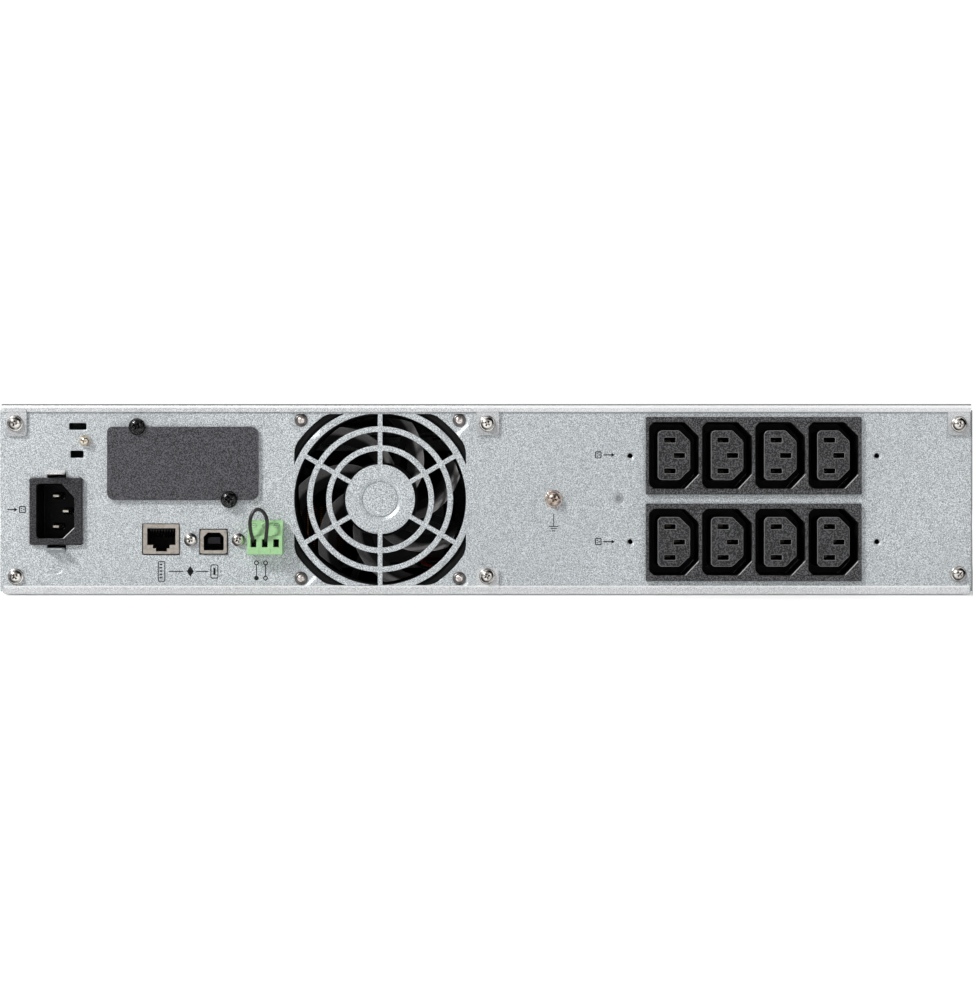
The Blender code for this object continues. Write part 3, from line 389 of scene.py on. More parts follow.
def zinc(name, lo, hi, rough=(0.36, 0.50), metal=0.35, painted_bend_light=False):
    """Galvanised sheet: salt-and-pepper grain, faint crystal spangle and slow colour drift."""
    m = Mat(name, metal=metal)
    bw = m.n("ShaderNodeRGBToBW")
    m.l(m.cells(300), bw.inputs[0])
    fine = m.noise(2150, 1.0, 0.6)
    grit = m.noise(2900, 1.0, 0.6)
    mid = m.noise(260, 2.0, 0.5)
    cloud = m.noise(9, 2.0, 0.5)
    base = m.mix(m.to_value(fine, 0, 1, 0.425, 0.575), lo, hi)
    base = m.mix(m.to_value(grit, 0.0, 0.8, 0.50, 0.62), base, tuple(v * 0.5 for v in lo))
    base = m.mix(m.to_value(grit, 0.7, 0.0, 0.38, 0.5), base, tuple(min(1.0, v * 1.3) for v in hi))
    base = m.mix(m.to_value(bw.outputs[0], 0.0, 0.10), base, hi)
    base = m.mix(m.to_value(mid, 0.0, 0.12, 0.35, 0.65), base, lo)
    base = m.mix(m.to_value(cloud, 0.0, 0.16, 0.4, 0.6), base, (lo[0] * 1.02, lo[1] * 1.0, lo[2] * 1.02))
    if painted_bend_light:
        # painted light on the folded rear rims: a painted highlight along the top bend and the upper edge of the bottom
        # lip, painted shade at the very top, in a line under the top flange and over the lower part of the tabs
        axes = m.n("ShaderNodeSeparateXYZ")
        m.l(m.co, axes.inputs[0])
        rear = m.to_value(axes.outputs["Y"], 1.0, 0.0, -217.9 * MM, -217.3 * MM)
        z = m.n("ShaderNodeValToRGB")
        stops = ((0.0, 0.60), (0.3, 0.60), (0.6, 0.56), (3.2, 0.56), (3.45, 0.85), (4.1, 0.85), (4.3, 0.5), (71.3, 0.5), (71.6, 0.33), (75.5, 0.36), (79.5, 0.44), (82.2, 0.5), (82.36, 0.22), (82.62, 0.5), (84.2, 0.5), (84.5, 1.0), (85.15, 1.0), (85.5, 0.30), (85.7, 0.05), (86.1, 0.05))
        e = z.color_ramp.elements
        e[0].position, e[1].position = 0.0, 1.0
        e[0].color, e[1].color = (stops[0][1],) * 3 + (1,), (stops[-1][1],) * 3 + (1,)
        for q, v in stops[1:-1]:
            e.new(q / 86.1).color = (v, v, v, 1)
        m.l(m.to_value(axes.outputs["Z"], 0.0, 1.0, 0.0, 86.1 * MM), z.inputs["Fac"])
        # painted light: the rear top flange brightens towards the right
        east = m.to_value(axes.outputs["X"], 0.0, 0.42, -60 * MM, 60 * MM)
        high = m.to_value(axes.outputs["Z"], 0.15, 1.0, 82.1 * MM, 82.5 * MM)
        both = m.n("ShaderNodeMath", operation="MULTIPLY")
        m.l(east, both.inputs[0])
        m.l(high, both.inputs[1])
        lifted = m.mix(both.outputs[0], base, (0.97, 0.975, 0.99))
        shade = m.mix(m.to_value(z.outputs["Color"], 0.92, 0.0, 0.0, 0.5), lifted, (0.05, 0.05, 0.055))
        shade = m.mix(m.to_value(z.outputs["Color"], 0.0, 1.0, 0.5, 1.0), shade, (0.99, 0.995, 1.0))
        base = m.mix(rear, base, shade)
        dull = m.mix(rear, m.to_value(fine, 0.50, 0.60, 0.3, 0.7), m.to_value(fine, rough[0], rough[1], 0.3, 0.7))
    m.colour(base)
    m.rough(dull if painted_bend_light else m.to_value(fine, rough[0], rough[1], 0.3, 0.7))
    m.bump(fine, 0.3, 0.012)
    return m.m


def plastic(name, colour, rough=0.5, grain=1400, bump=0.25, speck=0.25, light=1.5, lit_worn_edges=True, spec=0.5, coat=0.0, painted_dark=None, depth=0.02, crisp=0.14, lit_worn_edge_mm=0.35, painted_glint=None, painted_rim=None, painted_lee_shade=None, fleck=0.0):
    """Moulded plastic with fine spark-eroded grain and lighter edges, partly rubbed wear and partly a painted edge
    highlight; options paint a highlight on the chamfers that face up and left as seen from the rear, a highlight on
    every softened edge, shade on what faces down and right, and shade that deepens into the part.
    """
    m = Mat(name, rough=rough, spec=spec, coat=coat)
    fine = m.noise(grain, 2.0, 0.65)
    cloud = m.noise(30, 3.0, 0.5)
    dark = tuple(c * max(0.06, 1 - speck * 0.6) for c in colour)
    pale = tuple(min(1, c * (1 + speck)) for c in colour)
    base = m.mix(m.to_value(fine, 0, 1, 0.5 - crisp, 0.5 + crisp), dark, pale)
    base = m.mix(m.to_value(cloud, 0, 0.25, 0.4, 0.7), base, tuple(c * 0.9 for c in colour))
    if fleck:
        dots = m.noise(1600, 0.0, 0.5)
        base = m.mix(m.to_value(dots, 0.0, 1.0, 0.55, 0.63), base, tuple(c * fleck for c in colour))
        base = m.mix(m.to_value(dots, 1.0, 0.0, 0.37, 0.45), base, tuple(c * 0.3 for c in colour))
    # lighter edges: rubbed wear and a painted edge highlight
    if lit_worn_edges:
        base = m.mix_lit_worn_edges(base, tuple(min(1, c * light + 0.012) for c in colour), lit_worn_edge_mm)
    # painted shade: colour darkens and sheen drops with depth behind the rear face, in wells, cavities and behind the
    # fan grille
    if painted_dark:
        axes = m.n("ShaderNodeSeparateXYZ")
        m.l(m.co, axes.inputs[0])
        down = m.to_value(axes.outputs["Y"], 0.0, 1.0, painted_dark[0] * MM, painted_dark[1] * MM)
        base = m.mix(down, base, tuple(c * painted_dark[2] for c in colour))
        m.l(m.to_value(axes.outputs["Y"], spec, spec * 0.25, painted_dark[0] * MM, painted_dark[1] * MM), m.b.inputs["Specular IOR Level"])
    # painted highlight on softened edges that turn sideways
    if painted_rim:
        base = m.mix(m.facing((0.0, -1.0, 0.0), ((0.0, 0.0), (0.22, 0.0), (0.40, 1.0), (0.90, 1.0), (0.97, 0.0), (1.0, 0.0))), base, painted_rim)
    # painted shade on faces that turn down and to the right
    if painted_lee_shade:
        base = m.mix(m.facing((0.7071, 0.0, -0.7071), ((0.0, 0.0), (0.18, 0.0), (0.55, 1.0), (1.0, 1.0))), base, tuple(c * painted_lee_shade for c in colour))
    # painted highlight on chamfers that face up and to the left, not on level or upright edges
    if painted_glint:
        side = m.facing((0.7071, 0.0, 0.7071), ((0.0, 1.0), (0.10, 1.0), (0.26, 0.0), (1.0, 0.0)))
        other = m.facing((-0.7071, 0.0, -0.7071), ((0.0, 1.0), (0.10, 1.0), (0.26, 0.0), (1.0, 0.0)))
        mask = m.mix(1.0, side, other, "MULTIPLY")
        mask = m.mix(1.0, mask, m.facing((-0.7071, 0.0, 0.7071), ((0.0, 0.0), (0.22, 0.0), (0.36, 1.0), (0.96, 1.0), (0.99, 0.0), (1.0, 0.0))), "MULTIPLY")
        base = m.mix(mask, base, painted_glint)
    m.colour(base)
    m.rough(m.to_value(fine, max(0.05, rough - 0.07), rough + 0.07, 0.3, 0.7))
    m.bump(fine, bump, depth)
    return m.m


def paint(name, colour, rough=0.55, metal=0.0, spread=1.0):
    """Powder coat with orange peel."""
    m = Mat(name, rough=rough, metal=metal)
    peel = m.noise(1300, 2.0, 0.5)
    speck = m.noise(2700 if spread > 1 else 2000, 1.0, 0.5)
    base = m.mix(m.to_value(speck, 0, 1, 0.47, 0.53), tuple(c * 0.55 / spread for c in colour), tuple(c * (1.6 if spread == 1.0 else 2.5) for c in colour))
    m.colour(m.mix_lit_worn_edges(base, tuple(min(1, c * 1.5 + 0.01) for c in colour)))
    m.rough(m.to_value(peel, rough - 0.08, rough + 0.08, 0.3, 0.7))
    m.bump(peel, 0.8, 0.06)
    return m.m


def plated(name, colour, dark, rough=0.16, scratch=0.35, stains=0.8, painted_dome_reflection=False, coat=0.0, streaks=0.0):
    """Plated steel fastener: bright with brown-grey stains in the low spots."""
    m = Mat(name, rough=rough, metal=1.0, coat=coat)
    stain = m.noise(420, 3.0, 0.6, distortion=0.4)
    fine = m.noise(3200, 2.0, 0.7)
    base = m.mix(m.to_value(stain, 0.0, stains, 0.46, 0.66), colour, dark)
    base = m.mix(m.to_value(fine, 0.0, scratch, 0.45, 0.75), base, tuple(c * 0.72 for c in colour))
    if painted_dome_reflection:
        # painted reflection: the dome's colour is darkened in bands, as if it mirrored a dark room from its upper right
        # and lower left, and towards its edge
        painted_dark = tuple(c * 0.03 for c in dark)
        painted_rim = m.n("ShaderNodeLayerWeight")
        ring = m.ramp(painted_rim.outputs["Facing"], (0.0, 0.0), (0.06, 0.0), (0.17, 0.9), (0.60, 1.0), (0.78, 0.25), (1.0, 0.85))
        lit = m.ramp(m.to_value(m.dot((-0.66, -0.36, 0.66)), 0.0, 1.0, -1.0, 1.0), (0.0, 0.35), (0.33, 0.40), (0.43, 1.0), (0.80, 1.0), (0.92, 0.12), (1.0, 0.0))
        base = m.mix(m.mix(1.0, ring, lit, "MULTIPLY"), base, painted_dark)
    if streaks:
        # bare metal where a driver has scuffed the finish
        scuff = m.noise(900, 2.0, 0.6, vec=m.stretch(1.0, 1.0, 0.55), distortion=1.2)
        base = m.mix(m.ramp(scuff, (0.0, 0.0), (0.485, 0.0), (0.50, 1.0), (0.515, 0.0), (1.0, 0.0)), base, (streaks, streaks, streaks))
    m.colour(base)
    m.rough(m.to_value(stain, rough, rough + 0.12, 0.35, 0.7))
    m.bump(stain, 0.3, 0.03)
    return m.m


def board(name, colour):
    m = Mat(name, rough=0.35, coat=0.3)
    traces = m.cells(260, feature="DISTANCE_TO_EDGE", out="Distance")
    fine = m.noise(300, 3.0)
    base = m.mix(m.to_value(traces, 1, 0, 0.02, 0.06), tuple(c * 0.75 for c in colour), tuple(c * 1.6 for c in colour))
    m.colour(m.mix(m.to_value(fine, 0, 0.3), base, tuple(c * 0.6 for c in colour)))
    m.bump(traces, 0.3, 0.03)
    return m.m


def winding(name):
    m = Mat(name, rough=0.3, metal=0.9)
    w = m.n("ShaderNodeTexWave", wave_type="BANDS", bands_direction="Z")
    w.inputs["Scale"].default_value = 320
    w.inputs["Distortion"].default_value = 0.6
    m.l(m.co, w.inputs["Vector"])
    m.colour(m.ramp(w.outputs["Fac"], (0.0, (0.12, 0.035, 0.012)), (0.5, (0.55, 0.2, 0.07)), (1.0, (0.72, 0.34, 0.14))))
    m.bump(w.outputs["Fac"], 0.6, 0.1)
    return m.m


def glass(name, colour, alpha):
    m = Mat(name, rough=0.06, coat=1.0)
    m.b.inputs["Alpha"].default_value = alpha
    smear = m.noise(40, 4.0, 0.6)
    m.rough(m.to_value(smear, 0.04, 0.13, 0.35, 0.7))
    m.colour(m.mix(m.noise(25, 2.0), colour, tuple(c * 1.25 for c in colour)))
    return m.m


def glow(name, colour, strength):
    m = Mat(name, rough=0.4)
    n = m.noise(600, 2.0)
    c = m.mix(m.to_value(n, 0, 0.3), colour, tuple(v * 0.7 for v in colour))
    m.colour(c)
    m.l(c, m.b.inputs["Emission Color"])
    m.b.inputs["Emission Strength"].default_value = strength
    return m.m


ZINC = zinc("zinc_panel", (0.325, 0.355, 0.375), (0.72, 0.755, 0.78))
ZINC_LIGHT = zinc("zinc_cover", (0.50, 0.52, 0.535), (0.78, 0.80, 0.815), rough=(0.30, 0.42), painted_bend_light=True)
# lighter copy of the panel zinc: painted highlight on the upper cord bracket
ZINC_LANCE_LIT = zinc("zinc_lance_painted_highlight", (0.62, 0.61, 0.60), (0.92, 0.91, 0.90), rough=(0.26, 0.36))
# mid-grey zinc: the clinch nub's tone, and painted shade on the lower cord bracket and in the flange gap
ZINC_MID_AND_SHADE = zinc("zinc_clinch_and_painted_shade", (0.28, 0.30, 0.31), (0.46, 0.48, 0.50))
# dark zinc: the clinch nub's dark centre, and painted shade on the divider inside the case and along the panel's right
# edge
ZINC_DARK_AND_SHADE = zinc("zinc_dark_and_painted_shade", (0.20, 0.21, 0.22), (0.32, 0.33, 0.34))
NICKEL = plated("nickel_screw", (0.95, 0.915, 0.87), (0.30, 0.25, 0.215), rough=0.13, stains=0.75, painted_dome_reflection=True)
EARTH = plated("bronze_tinted_screw", (0.74, 0.62, 0.54), (0.14, 0.095, 0.07), rough=0.18, scratch=0.9, stains=1.0)
STRAW = plated("straw_passivated", (0.93, 0.85, 0.73), (0.36, 0.27, 0.17), rough=0.20, stains=0.9, scratch=0.6)
EYELET = plated("eyelet_steel", (0.19, 0.182, 0.175), (0.06, 0.053, 0.05), rough=0.3)
ROSY = plated("fan_screw_nickel", (0.97, 0.91, 0.88), (0.34, 0.27, 0.25), rough=0.20, stains=0.9)
BRASSY = plated("tin_shell", (0.58, 0.535, 0.48), (0.33, 0.29, 0.25), rough=0.32, scratch=0.3)
CONTACT = plated("contact_metal", (0.74, 0.70, 0.62), (0.40, 0.35, 0.30), rough=0.22)
CONTACT_DIM = plated("contact_shadowed", (0.16, 0.14, 0.11), (0.06, 0.05, 0.04), rough=0.35)
BLACK_SCREW = plated("black_oxide", (0.014, 0.014, 0.015), (0.004, 0.004, 0.004), rough=0.20, stains=0.6, coat=0.12, streaks=0.36)
OUTLET = plastic("outlet_plastic", (0.0315, 0.0315, 0.0333), rough=0.34, speck=1.7, light=1.3, grain=2250, bump=0.9, painted_dark=(-219.4, -218.0, 0.22), spec=0.4, depth=0.07, crisp=0.06, painted_glint=(0.36, 0.36, 0.365), painted_lee_shade=0.4, fleck=3.6)
CORE = plastic("outlet_core_plastic", (0.0225, 0.0225, 0.0238), rough=0.34, speck=1.7, light=1.3, grain=2250, bump=0.9, painted_dark=(-219.1, -218.0, 0.22), spec=0.4, depth=0.07, crisp=0.06, painted_rim=(0.20, 0.20, 0.205), fleck=3.8)
INLET = plastic("inlet_plastic", (0.0125, 0.012, 0.0136), rough=0.34, speck=3.3, light=1.2, grain=2250, bump=0.8, painted_dark=(-219.2, -217.4, 0.08), spec=0.4, depth=0.06, crisp=0.04, painted_glint=(0.52, 0.52, 0.53), painted_lee_shade=0.3, fleck=5.0)
FANP = plastic("fan_plastic_black", (0.0045, 0.0045, 0.005), rough=0.55, speck=0.3, light=1.6, spec=0.14)
BLADE = plastic("fan_blade_grey", (0.165, 0.160, 0.160), rough=0.5, speck=0.35, light=2.4, spec=0.2, lit_worn_edge_mm=0.6, painted_dark=(FAN_Y0 + 8.3, FAN_Y0 + 10.3, 0.10))
COVERP = paint("slot_cover_paint", (0.039, 0.038, 0.044), rough=0.42, spread=3.2)
GREEN = plastic("terminal_green", (0.33, 0.585, 0.285), rough=0.42, speck=0.08, light=1.15, grain=900)
GREEN_PALE = plastic("terminal_screw_head", (0.36, 0.56, 0.33), rough=0.4, speck=0.1, light=1.1)
GREEN_D = plastic("terminal_green_deep", (0.10, 0.28, 0.10), rough=0.5, speck=0.1, light=1.1)
WIREP = plastic("wire_pvc", (0.012, 0.011, 0.011), rough=0.30, speck=0.3, lit_worn_edges=False)
JACKP = plastic("moulded_black", (0.012, 0.012, 0.013), rough=0.4, speck=0.3)
# near-black: the plastic of the port inserts, and painted shade where the terminal clamps sit
PIT_BLACK_AND_SHADE = plastic("insert_black_and_painted_shade", (0.004, 0.004, 0.004), rough=0.6, speck=0.3, spec=0.15, lit_worn_edges=False)
TONGUE = plastic("usb_tongue", (0.009, 0.008, 0.010), rough=0.42, speck=0.2, light=2.2, spec=0.2)
INK = plastic("ink", (0.010, 0.010, 0.011), rough=0.6, speck=0.2, lit_worn_edges=False, spec=0.2)
PCB = board("solder_mask", (0.012, 0.07, 0.03))
COPPER = winding("copper_winding")
FERRITE = plastic("ferrite", (0.035, 0.033, 0.032), rough=0.6, speck=0.4, grain=600)
ALU = plated("extruded_aluminium", (0.78, 0.78, 0.80), (0.5, 0.5, 0.52), rough=0.34)
BRONZE = plated("sintered_bronze", (0.66, 0.46, 0.2), (0.3, 0.2, 0.1), rough=0.35)
BATT = plastic("battery_abs", (0.030, 0.032, 0.036), rough=0.42, speck=0.2, grain=700)
BATT_LID = plastic("battery_lid", (0.055, 0.058, 0.064), rough=0.42, speck=0.2, grain=700)
RED = plastic("red_nylon", (0.40, 0.035, 0.025), rough=0.35, speck=0.15, light=1.3)
BROWN = plastic("brown_pvc", (0.11, 0.045, 0.02), rough=0.38, speck=0.15, lit_worn_edges=False)
BEZEL = plastic("bezel_abs", (0.016, 0.016, 0.018), rough=0.48, speck=0.4, grain=1000, bump=0.5, light=1.8)
TRIM = plastic("display_trim", (0.012, 0.012, 0.013), rough=0.16, speck=0.1, light=1.5, coat=0.6)
KEYP = plastic("key_abs", (0.10, 0.10, 0.105), rough=0.4, speck=0.2)
EARP = paint("ear_powder_coat", (0.017, 0.017, 0.019), rough=0.45)
GLASS = glass("display_tint", (0.006, 0.009, 0.013), 1.0)
LCD = plastic("display_film", (0.008, 0.014, 0.020), rough=0.35, speck=0.1, lit_worn_edges=False, bump=0.03, spec=0.2)
LIT = glow("display_segments", (0.45, 0.85, 1.0), 1.6)
HALO = glow("pilot_light", (0.15, 0.75, 0.35), 0.9)
ICON = plastic("icon_print", (0.62, 0.63, 0.64), rough=0.55, speck=0.1, lit_worn_edges=False)
CAPSLEEVE = plastic("capacitor_sleeve", (0.02, 0.025, 0.07), rough=0.25, speck=0.15)
FOAM = plastic("filter_foam", (0.012, 0.012, 0.012), rough=0.9, grain=500, bump=1.0, speck=0.5, lit_worn_edges=False)


def piece(name, o, mats, body="case", bevel=0.0, seg=2, angle=35, replaces=(), smooth=True, weighted=True, clamp=True, tri=False):
    """Names a finished piece, scales it to metres, gives it its looks and lets it ride. tri splits faces that carry many holes before they are bevelled."""
    if tri:
        bm = bmesh.new()
        bm.from_mesh(o.data)
        bmesh.ops.triangulate(bm, faces=[f for f in bm.faces if len(f.verts) > 4])
        bm.to_mesh(o.data)
        bm.free()
        clamp = False
    o.data.transform(Matrix.Scale(MM, 4))
    o.name = name
    o.data.name = name
    mats = mats if isinstance(mats, (list, tuple)) else [mats]
    if len(o.data.materials) == 0 or len(mats) == 1:
        o.data.materials.clear()
        for m in mats:
            o.data.materials.append(m)
    o.data.validate()
    if smooth:
        o.data.shade_smooth()
        o.data.set_sharp_from_angle(angle=math.radians(angle))
    if bevel:
        b = o.modifiers.new("edge", "BEVEL")
        b.width, b.segments, b.limit_method, b.angle_limit = bevel * MM, seg, "ANGLE", math.radians(angle)
        b.use_clamp_overlap = clamp
        b.miter_outer = "MITER_ARC"
        b.harden_normals = False
        bake(o)
        if smooth:
            o.data.shade_smooth()
            o.data.set_sharp_from_angle(angle=math.radians(50))
    if weighted and smooth:
        w = o.modifiers.new("normals", "WEIGHTED_NORMAL")
        w.mode, w.weight, w.keep_sharp = "FACE_AREA", 80, True
    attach(o, body)
    if replaces:
        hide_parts(*([replaces] if isinstance(replaces, str) else replaces))
    return o

# =====================================================================================================
# connector panel
# =====================================================================================================
def fan_windows(n=20):
    loops, half = [], 1.05
    for r0, r1 in ((15.75, 21.9), (24.4, 30.5), (33.0, 38.85)):
        for k in range(6):
            mid = math.radians(60 * k)
            d0, d1 = math.radians(30) - math.asin(half / r0), math.radians(30) - math.asin(half / r1)
            outer = [(FAN_X + r1 * math.cos(mid + d1 * (2 * i / n - 1)), FAN_Z + r1 * math.sin(mid + d1 * (2 * i / n - 1))) for i in range(n + 1)]
            inner = [(FAN_X + r0 * math.cos(mid - d0 * (2 * i / n - 1)), FAN_Z + r0 * math.sin(mid - d0 * (2 * i / n - 1))) for i in range(n + 1)]
            loops.append(outer + inner)
    side, ri, ro = 38.85, 41.8, 45.4
    ai = math.acos(side / ri)
    for k in range(4):
        mid = math.radians(45 + 90 * k)
        h0 = math.pi / 4 - ai
        inner = [(FAN_X + ri * math.cos(mid + h0 * (2 * i / n - 1)), FAN_Z + ri * math.sin(mid + h0 * (2 * i / n - 1))) for i in range(n + 1)]
        blend = [(38.85, 18.5), (38.85, 20.6), (38.66, 22.4), (38.15, 24.3), (37.3, 26.1)]
        half = blend + [(ro * math.cos(math.radians(t)), ro * math.sin(math.radians(t))) for t in (36, 38, 40, 42, 44)]
        whole = half + [(b, a) for a, b in reversed(half)]
        turn = math.radians(90 * k)
        outer = [(FAN_X + a * math.cos(turn) - b * math.sin(turn), FAN_Z + a * math.sin(turn) + b * math.cos(turn)) for a, b in reversed(whole)]
        loops.append(inner + outer)
    return loops


holes = fan_windows()
holes += [circle(FAN_X + a * FAN_HOLE, FAN_Z + b * FAN_HOLE, 2.1, 24) for a in (-1, 1) for b in (-1, 1)]
holes += [circle(x, z, 2.2, 24) for x, z in PANEL_SCREWS]
holes += [rounded(INLET_X - 10.6, INLET_X + 10.6, INLET_Z - 14.35, INLET_Z + 14.35, 0.6, 3)]
holes += [rounded(-198.6, -190.1, 52.3, 56.1, 0.3, 3), rounded(-198.6, -190.1, 19.2, 22.7, 0.3, 3)]
holes += [rounded(-188.7, -180.9, 74.5, 77.5, 0.5, 3), rounded(-188.1, -182.2, 61.8, 65.0, 0.5, 3), circle(*STUD, 1.9, 20)]
holes += [rounded(-167.2, -106.7, 47.5, 71.0, 1, 3)] + [circle(x, z, 1.7, 20) for x, z in SLOT_SCREWS]
holes += [rect(JACK[0] - 0.6, JACK[1] + 0.25, JACK[2] - 0.5, JACK[3] + 0.25), rect(USB[0] - 0.5, USB[1] + 0.3, USB[2] - 0.5, USB[3] + 0.3)]
holes += [circle(x, z, 1.8, 20) for x, z in COMM_SCREWS]
holes += [rect(TERM_X - 7.2, TERM_X + 7.2, 19.6, 31.0), circle(*GROUND, 2.3, 20)]
holes += [rect(72.7, 168.5, z - 16.5, z + 16.5) for z in OUT_Z]
holes += [circle(x, z, 1.15, 24) for x in (65.0, 176.6) for z in (62.7, 23.8)]
panel = prism([rect(-W / 2 - 0.9, W / 2 - 0.05, 1.3, 83.5)] + holes, "y", P_OUT, P_IN)

panel = add(panel, lathe([(0, P_IN - 0.3), (11.2, P_IN - 0.3), (10.9, P_IN), (9.4, P_IN + 0.9), (0, P_IN + 0.9)], "y", (FAN_X, FAN_Z), 96))
cutters = [lathe([(0, P_OUT - 1), (10.02, P_OUT - 1), (10.0, P_OUT), (9.5, P_OUT + 0.10), (8.12, P_OUT + 1.04), (8.08, P_OUT + 1.5), (7.72, P_OUT + 1.5), (7.70, P_OUT + 0.98), (0, P_OUT + 0.96)], "y", (FAN_X, FAN_Z), 120)]
for a in (-1, 1):
    for b in (-1, 1):
        sx, sz = FAN_X + a * FAN_HOLE, FAN_Z + b * FAN_HOLE
        cutters.append(dish(lambda d, sx=sx, sz=sz, a=a, b=b: stadium(sx - a * 1.9, sz - b * 1.9, 2.7, 5.2 - d, math.degrees(math.atan2(b, a)), 14), P_OUT, 0.80, 2.2, 4, straight=True))
cutters.append(dish(lambda d: circle(-194.5, 12.5, 3.7 - d, 40), P_OUT, 0.2, 0.7))
cutters.append(lathe([(0, P_OUT - 1), (2.65, P_OUT - 1), (2.65, P_OUT), (2.2, P_OUT + 0.45), (0, P_OUT + 0.45)], "y", (59.8, 43.3), 40))
for x in (65.0, 176.6):
    for z in (62.7, 23.8):
        cutters.append(dish(lambda d, x=x, z=z: circle(x + 0.12, z - 0.12, 2.15 - d, 28), P_OUT, 0.75, 0.95, 5))
for x0, x1, z0, z1 in ((-188.7, -180.9, 74.5, 77.5), (-188.1, -182.2, 61.8, 65.0)):
    cutters.append(dish(lambda d, x0=x0, x1=x1, z0=z0, z1=z1: rounded(x0 - 0.5 + d, x1 + 0.5 - d, z0 - 0.7 + d, z1 + 0.3 - d, 0.7, 3), P_OUT, 0.22, 0.45, 3))
panel = cut(panel, *cutters)
nub = lathe([(1.15, P_OUT + 0.5), (1.25, P_OUT + 0.25), (1.45, P_OUT + 0.08), (2.1, P_OUT + 0.10), (2.35, P_OUT + 0.2), (2.5, P_OUT + 0.6), (1.15, P_OUT + 0.6)], "y", (59.8, 43.3), 40, closed=True)
core_ = lathe([(0, P_OUT + 0.28), (0.45, P_OUT + 0.30), (0.75, P_OUT + 0.38), (1.1, P_OUT + 0.42), (1.2, P_OUT + 0.6), (0, P_OUT + 0.6)], "y", (59.8, 43.3), 32)
ring = lathe([(1.3, P_OUT + 0.3), (1.5, P_OUT + 0.07), (1.9, P_OUT + 0.03), (2.2, P_OUT + 0.25), (1.8, P_OUT + 0.5)], "y", (-194.5, 12.5), 32, closed=True)


def lance(z_root, down):
    """A tongue bent out of the panel at z_root, with a rolled root and a bored hole for the cord clip."""
    s = -1 if down else 1
    y0 = P_IN
    prof = [(y0, z_root + s * 0.5), (P_OUT - 0.02, z_root + s * 0.5), (P_OUT - 0.7, z_root + s * 0.36), (P_OUT - 1.5, z_root), (P_OUT - 2.2, z_root - s * 0.5), (P_OUT - 3.2, z_root - s * 0.75),
            (P_OUT - 6.2, z_root - s * 0.75), (P_OUT - 6.7, z_root - s * 1.0), (P_OUT - 6.7, z_root - s * 1.5), (P_OUT - 6.3, z_root - s * 1.75), (P_OUT - 3.0, z_root - s * 1.75), (P_OUT - 1.8, z_root - s * 1.45),
            (P_OUT - 0.9, z_root - s * 0.9), (P_OUT, z_root - s * 0.6), (y0, z_root - s * 0.6)]
    strip = prism([prof], "x", -200, -189)
    plan = prism([[(-198.5, P_IN + 1), (-198.5, P_OUT - 5.9), (-197.4, P_OUT - 7.2), (-191.3, P_OUT - 7.2), (-190.2, P_OUT - 5.9), (-190.2, P_IN + 1)], circle(-194.6, P_OUT - 4.2, 1.1, 24)], "z", z_root - 4, z_root + 4)
    return common(strip, plan)


piece("connector_panel", panel, ZINC, bevel=0.16, seg=2, angle=42, tri=True, replaces="rear_panel")
# a darker strip along the panel's right edge: painted shade
piece("panel_edge_return", boxes((W / 2 - 0.4, W / 2 + 0.7, P_OUT + 0.06, P_OUT + 0.95, 1.6, 83.3)), ZINC_DARK_AND_SHADE, bevel=0.1)
piece("panel_clinch_nub", nub, ZINC_MID_AND_SHADE)
piece("panel_clinch_core", core_, ZINC_DARK_AND_SHADE)
piece("flange_shadow_gap", boxes((-W / 2 + 1.0, W / 2 - 1.0, P_OUT - 0.05, P_OUT + 0.1, 81.62, 82.9)), ZINC_MID_AND_SHADE, bevel=0.02)
piece("panel_emboss_ring", ring, ZINC)
# the upper bracket takes a lighter zinc copy as painted highlight, the lower a darker one as painted shade
piece("cord_bracket_upper", lance(55.9, False), ZINC_LANCE_LIT, bevel=0.12)
piece("cord_bracket_lower", lance(19.35, True), ZINC_MID_AND_SHADE, bevel=0.12)

# ---- top cover ----------------------------------------------------------------------------------------
sec = [(Y_BACK + 0.9, H - 3.75)] + [(Y_BACK + 1.3 - 1.3 * math.cos(math.radians(t)), H - 1.3 + 1.3 * math.sin(math.radians(t))) for t in range(0, 91, 15)]
sec += [(Y_SHEET - 0.4, H), (Y_SHEET, H - 0.3), (Y_SHEET, 85.1), (Y_BACK + 1.5, 85.1), (Y_BACK + 1.1, 84.6), (Y_BACK + 1.28, H - 3.75)]
cover = prism([sec], "x", -W / 2, W / 2)
tabs = [prism([soften([(-216.9, 71.6), (-207.7, 71.6), (-207.7, 83.6), (-216.9, 83.6)], 1.4, 6)], "y", Y_BACK, Y_BACK + 1),
        prism([soften([(-4.4, 71.9), (5.7, 71.9), (5.7, 83.6), (-4.4, 83.6)], 1.4, 6)], "y", Y_BACK, Y_BACK + 1),
        prism([soften([(208.5, 71.9), (218.3, 71.9), (218.3, 83.6), (208.5, 83.6)], 1.4, 6)], "y", Y_BACK, Y_BACK + 1)]
cover = add(cover, *tabs)
cover = add(cover, boxes((-W / 2 + 8, W / 2 - 8, Y_SHEET - 3.0, Y_SHEET - 2.0, 83.6, 85.6)))
cuts = [lathe([(0, Y_BACK - 2), (2.2, Y_BACK - 2), (2.2, Y_BACK + 3), (0, Y_BACK + 3)], "y", PANEL_SCREWS[i], 28) for i in (0, 2, 4)]


def top_dish(outline, depth, width, n=6):
    rings = [[(x, y, H + 1.0) for x, y in outline(-0.02)]]
    for i in range(n + 1):
        t = i / n
        rings.append([(x, y, H - depth * (0.5 - 0.5 * math.cos(math.pi * t))) for x, y in outline(width * t)])
    return loft(rings)


